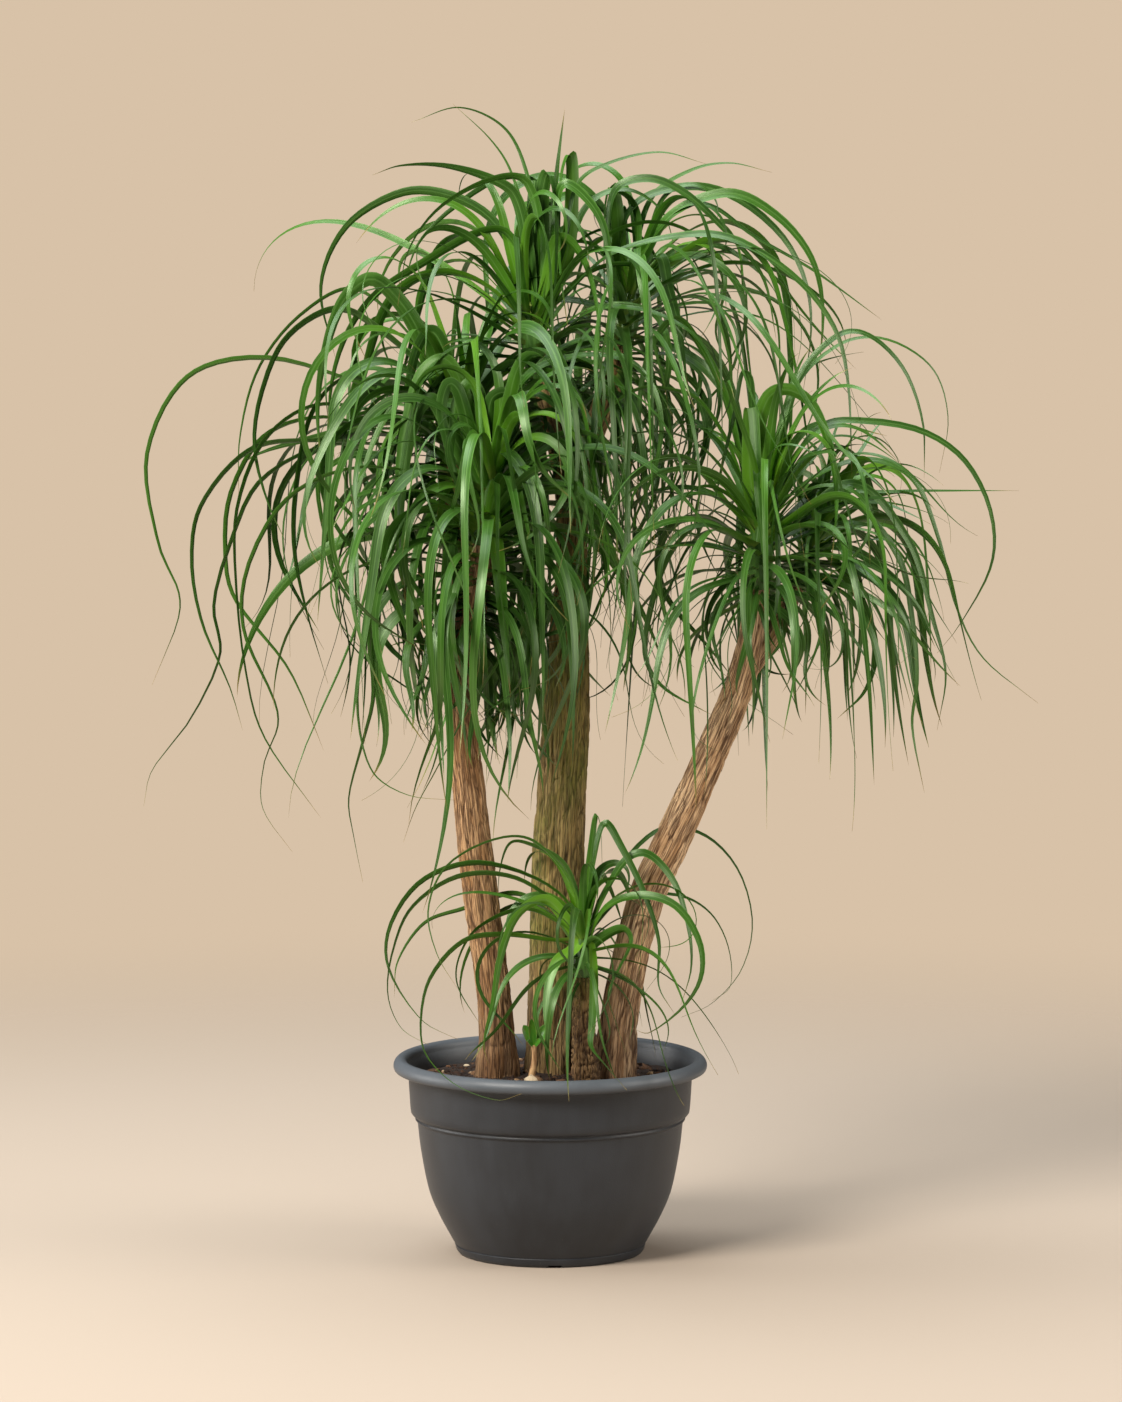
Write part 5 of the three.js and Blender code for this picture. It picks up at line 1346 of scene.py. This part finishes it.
def heartPatch(crown):
    # the spindle where the leaf bases wrap the growing tip, ridged by their overlapping edges
    around, rings = heart["around"], heart["rings"]
    share = np.linspace(0, 1, rings)
    spread = np.interp(share, heart["places"], heart["widths"])
    axis = crown["axis"]
    east = unit(np.cross([0, 1.0, 0], axis))
    north = np.cross(axis, east)
    angle = turns(around)
    count, wind, tall = heart["ridges"]
    ridges = 1 + tall * np.sin(count * angle[None] + wind * share[:, None])
    out = east * np.cos(angle)[:, None] + north * np.sin(angle)[:, None]
    centre = crown["at"] + axis * (heart["lift"] + share[:, None] * crown["height"])
    points = centre[:, None] + out[None] * (crown["radius"] * spread[:, None] * ridges)[..., None]
    points = np.vstack([points.reshape(-1, 3), centre[:1], centre[-1:]])
    flow = np.stack([points[:, 0], points[:, 2] * 0.2, points[:, 1]], 1) * millimetre
    values = {"along": 0.1, "tone": 0.3, "age": 0.9, "edge": 0.9, "under": 0.0}
    return patch(points, tubeFaces(rings, around), flow=flow, **values)


studio = {
    "pitch": 6.35, "lens": 186.1,  # the camera's, degrees down and millimetres
    "backdrop": "d8c2a8", "sky": ("f4ecdf", 0.08), "aim": (0.03, 0, 0.65),
    "floor": {"colour": "b7a899", "size": 9, "clear": (1.0, 2.6)},  # fades out between these radii
    "lamps": {
        "key": {"at": (-2.6, -3.2, 3.6), "size": 2.0, "power": 360, "colour": (1.0, 0.95, 0.87)},
        "fill": {"at": (3.4, -0.8, 1.6), "size": 2.2, "power": 80, "colour": (1.0, 0.94, 0.86)},
        "side": {"at": (-3.6, 0.4, 0.9), "size": 1.6, "power": 60, "colour": (1.0, 0.97, 0.93)},
        "top": {"at": (-0.4, 0.6, 4.2), "size": 3.2, "power": 150, "colour": (0.93, 0.98, 1.0)},
    },
}


def putLamp(name, setting):
    lamp = bpy.data.lights.new(name, "AREA")
    lamp.size, lamp.energy, lamp.color = setting["size"], setting["power"], setting["colour"]
    light = bpy.data.objects.new(name, lamp)
    bpy.context.scene.collection.objects.link(light)
    light.location = setting["at"]
    aim = np.array(studio["aim"]) - setting["at"]
    tilt = math.acos(-aim[2] / np.linalg.norm(aim))
    light.rotation_euler = (tilt, 0, math.atan2(aim[1], aim[0]) - math.pi / 2)


def setWorld():
    # the sky lights the plant softly; the camera sees one plain colour
    world = bpy.data.worlds.new("soft world")
    world.use_nodes = True
    nodes, links = world.node_tree.nodes, world.node_tree.links
    sky, seen, both = nodes["Background"], nodes.new("ShaderNodeBackground"), nodes.new("ShaderNodeMixShader")
    sky.inputs["Color"].default_value = shade(studio["sky"][0])
    sky.inputs["Strength"].default_value = studio["sky"][1]
    seen.inputs["Color"].default_value = shade(studio["backdrop"])
    rays = nodes.new("ShaderNodeLightPath")
    links.new(rays.outputs["Is Camera Ray"], both.inputs[0])
    links.new(sky.outputs[0], both.inputs[1])
    links.new(seen.outputs[0], both.inputs[2])
    links.new(both.outputs[0], nodes["World Output"].inputs["Surface"])
    bpy.context.scene.world = world


def putFloor():
    # a pale floor that fades into the backdrop all round
    setting = studio["floor"]
    half = setting["size"] / 2
    mesh = bpy.data.meshes.new("floor")
    corners = [(-half, -half, 0), (half, -half, 0), (half, half, 0), (-half, half, 0)]
    mesh.from_pydata(corners, [], [(0, 1, 2, 3)])
    floor = bpy.data.objects.new("floor", mesh)
    bpy.context.scene.collection.objects.link(floor)
    finish = Finish("floor", Roughness=0.9)
    finish.shader.inputs["Base Color"].default_value = shade(setting["colour"])
    flat = finish.place(1, 1, 0)
    radius = finish.node("ShaderNodeVectorMath", {"operation": "LENGTH"}, {0: flat}, output="Value")
    finish.feed(Alpha=1 - radius.rise(*setting["clear"]))
    mesh.materials.append(finish.material)


def setStudio():
    scene = bpy.context.scene
    camera = bpy.data.objects.new("camera", bpy.data.cameras.new("camera"))
    scene.collection.objects.link(camera)
    camera.location = [part * millimetre for part in (eye["x"], -eye["distance"], eye["height"])]
    camera.rotation_euler = (math.radians(90 - studio["pitch"]), 0, 0)
    camera.data.lens = studio["lens"]
    scene.camera = camera
    scene.view_settings.view_transform = "Standard"
    for name, setting in studio["lamps"].items():
        putLamp(name, setting)
    setWorld()
    putFloor()


setStudio()
print("camera, lights and floor")
potPiece()
print("pot")
soilPiece()
print("soil")
for name in trunks:
    trunkPiece(name)
print("trunks")
sproutPieces()
print("sprout")
for name, leaves in growLeaves().items():
    crown = crowns[name]
    broad, more = finerLeaves(crown)
    patches = [heartPatch(crown), bladePatch(leaves, blade), bladePatch(more, finerBlade)]
    patches += [bladePatch(broad, {**blade, "wider": 1.0})] if broad else []
    putPiece(name + "_leaves", patches, leafFinish(name, crown["fresh"]), name, blade["sharper"])
    print(name, len(leaves), "leaves,", len(broad), "broad and", len(more), "finer ones")
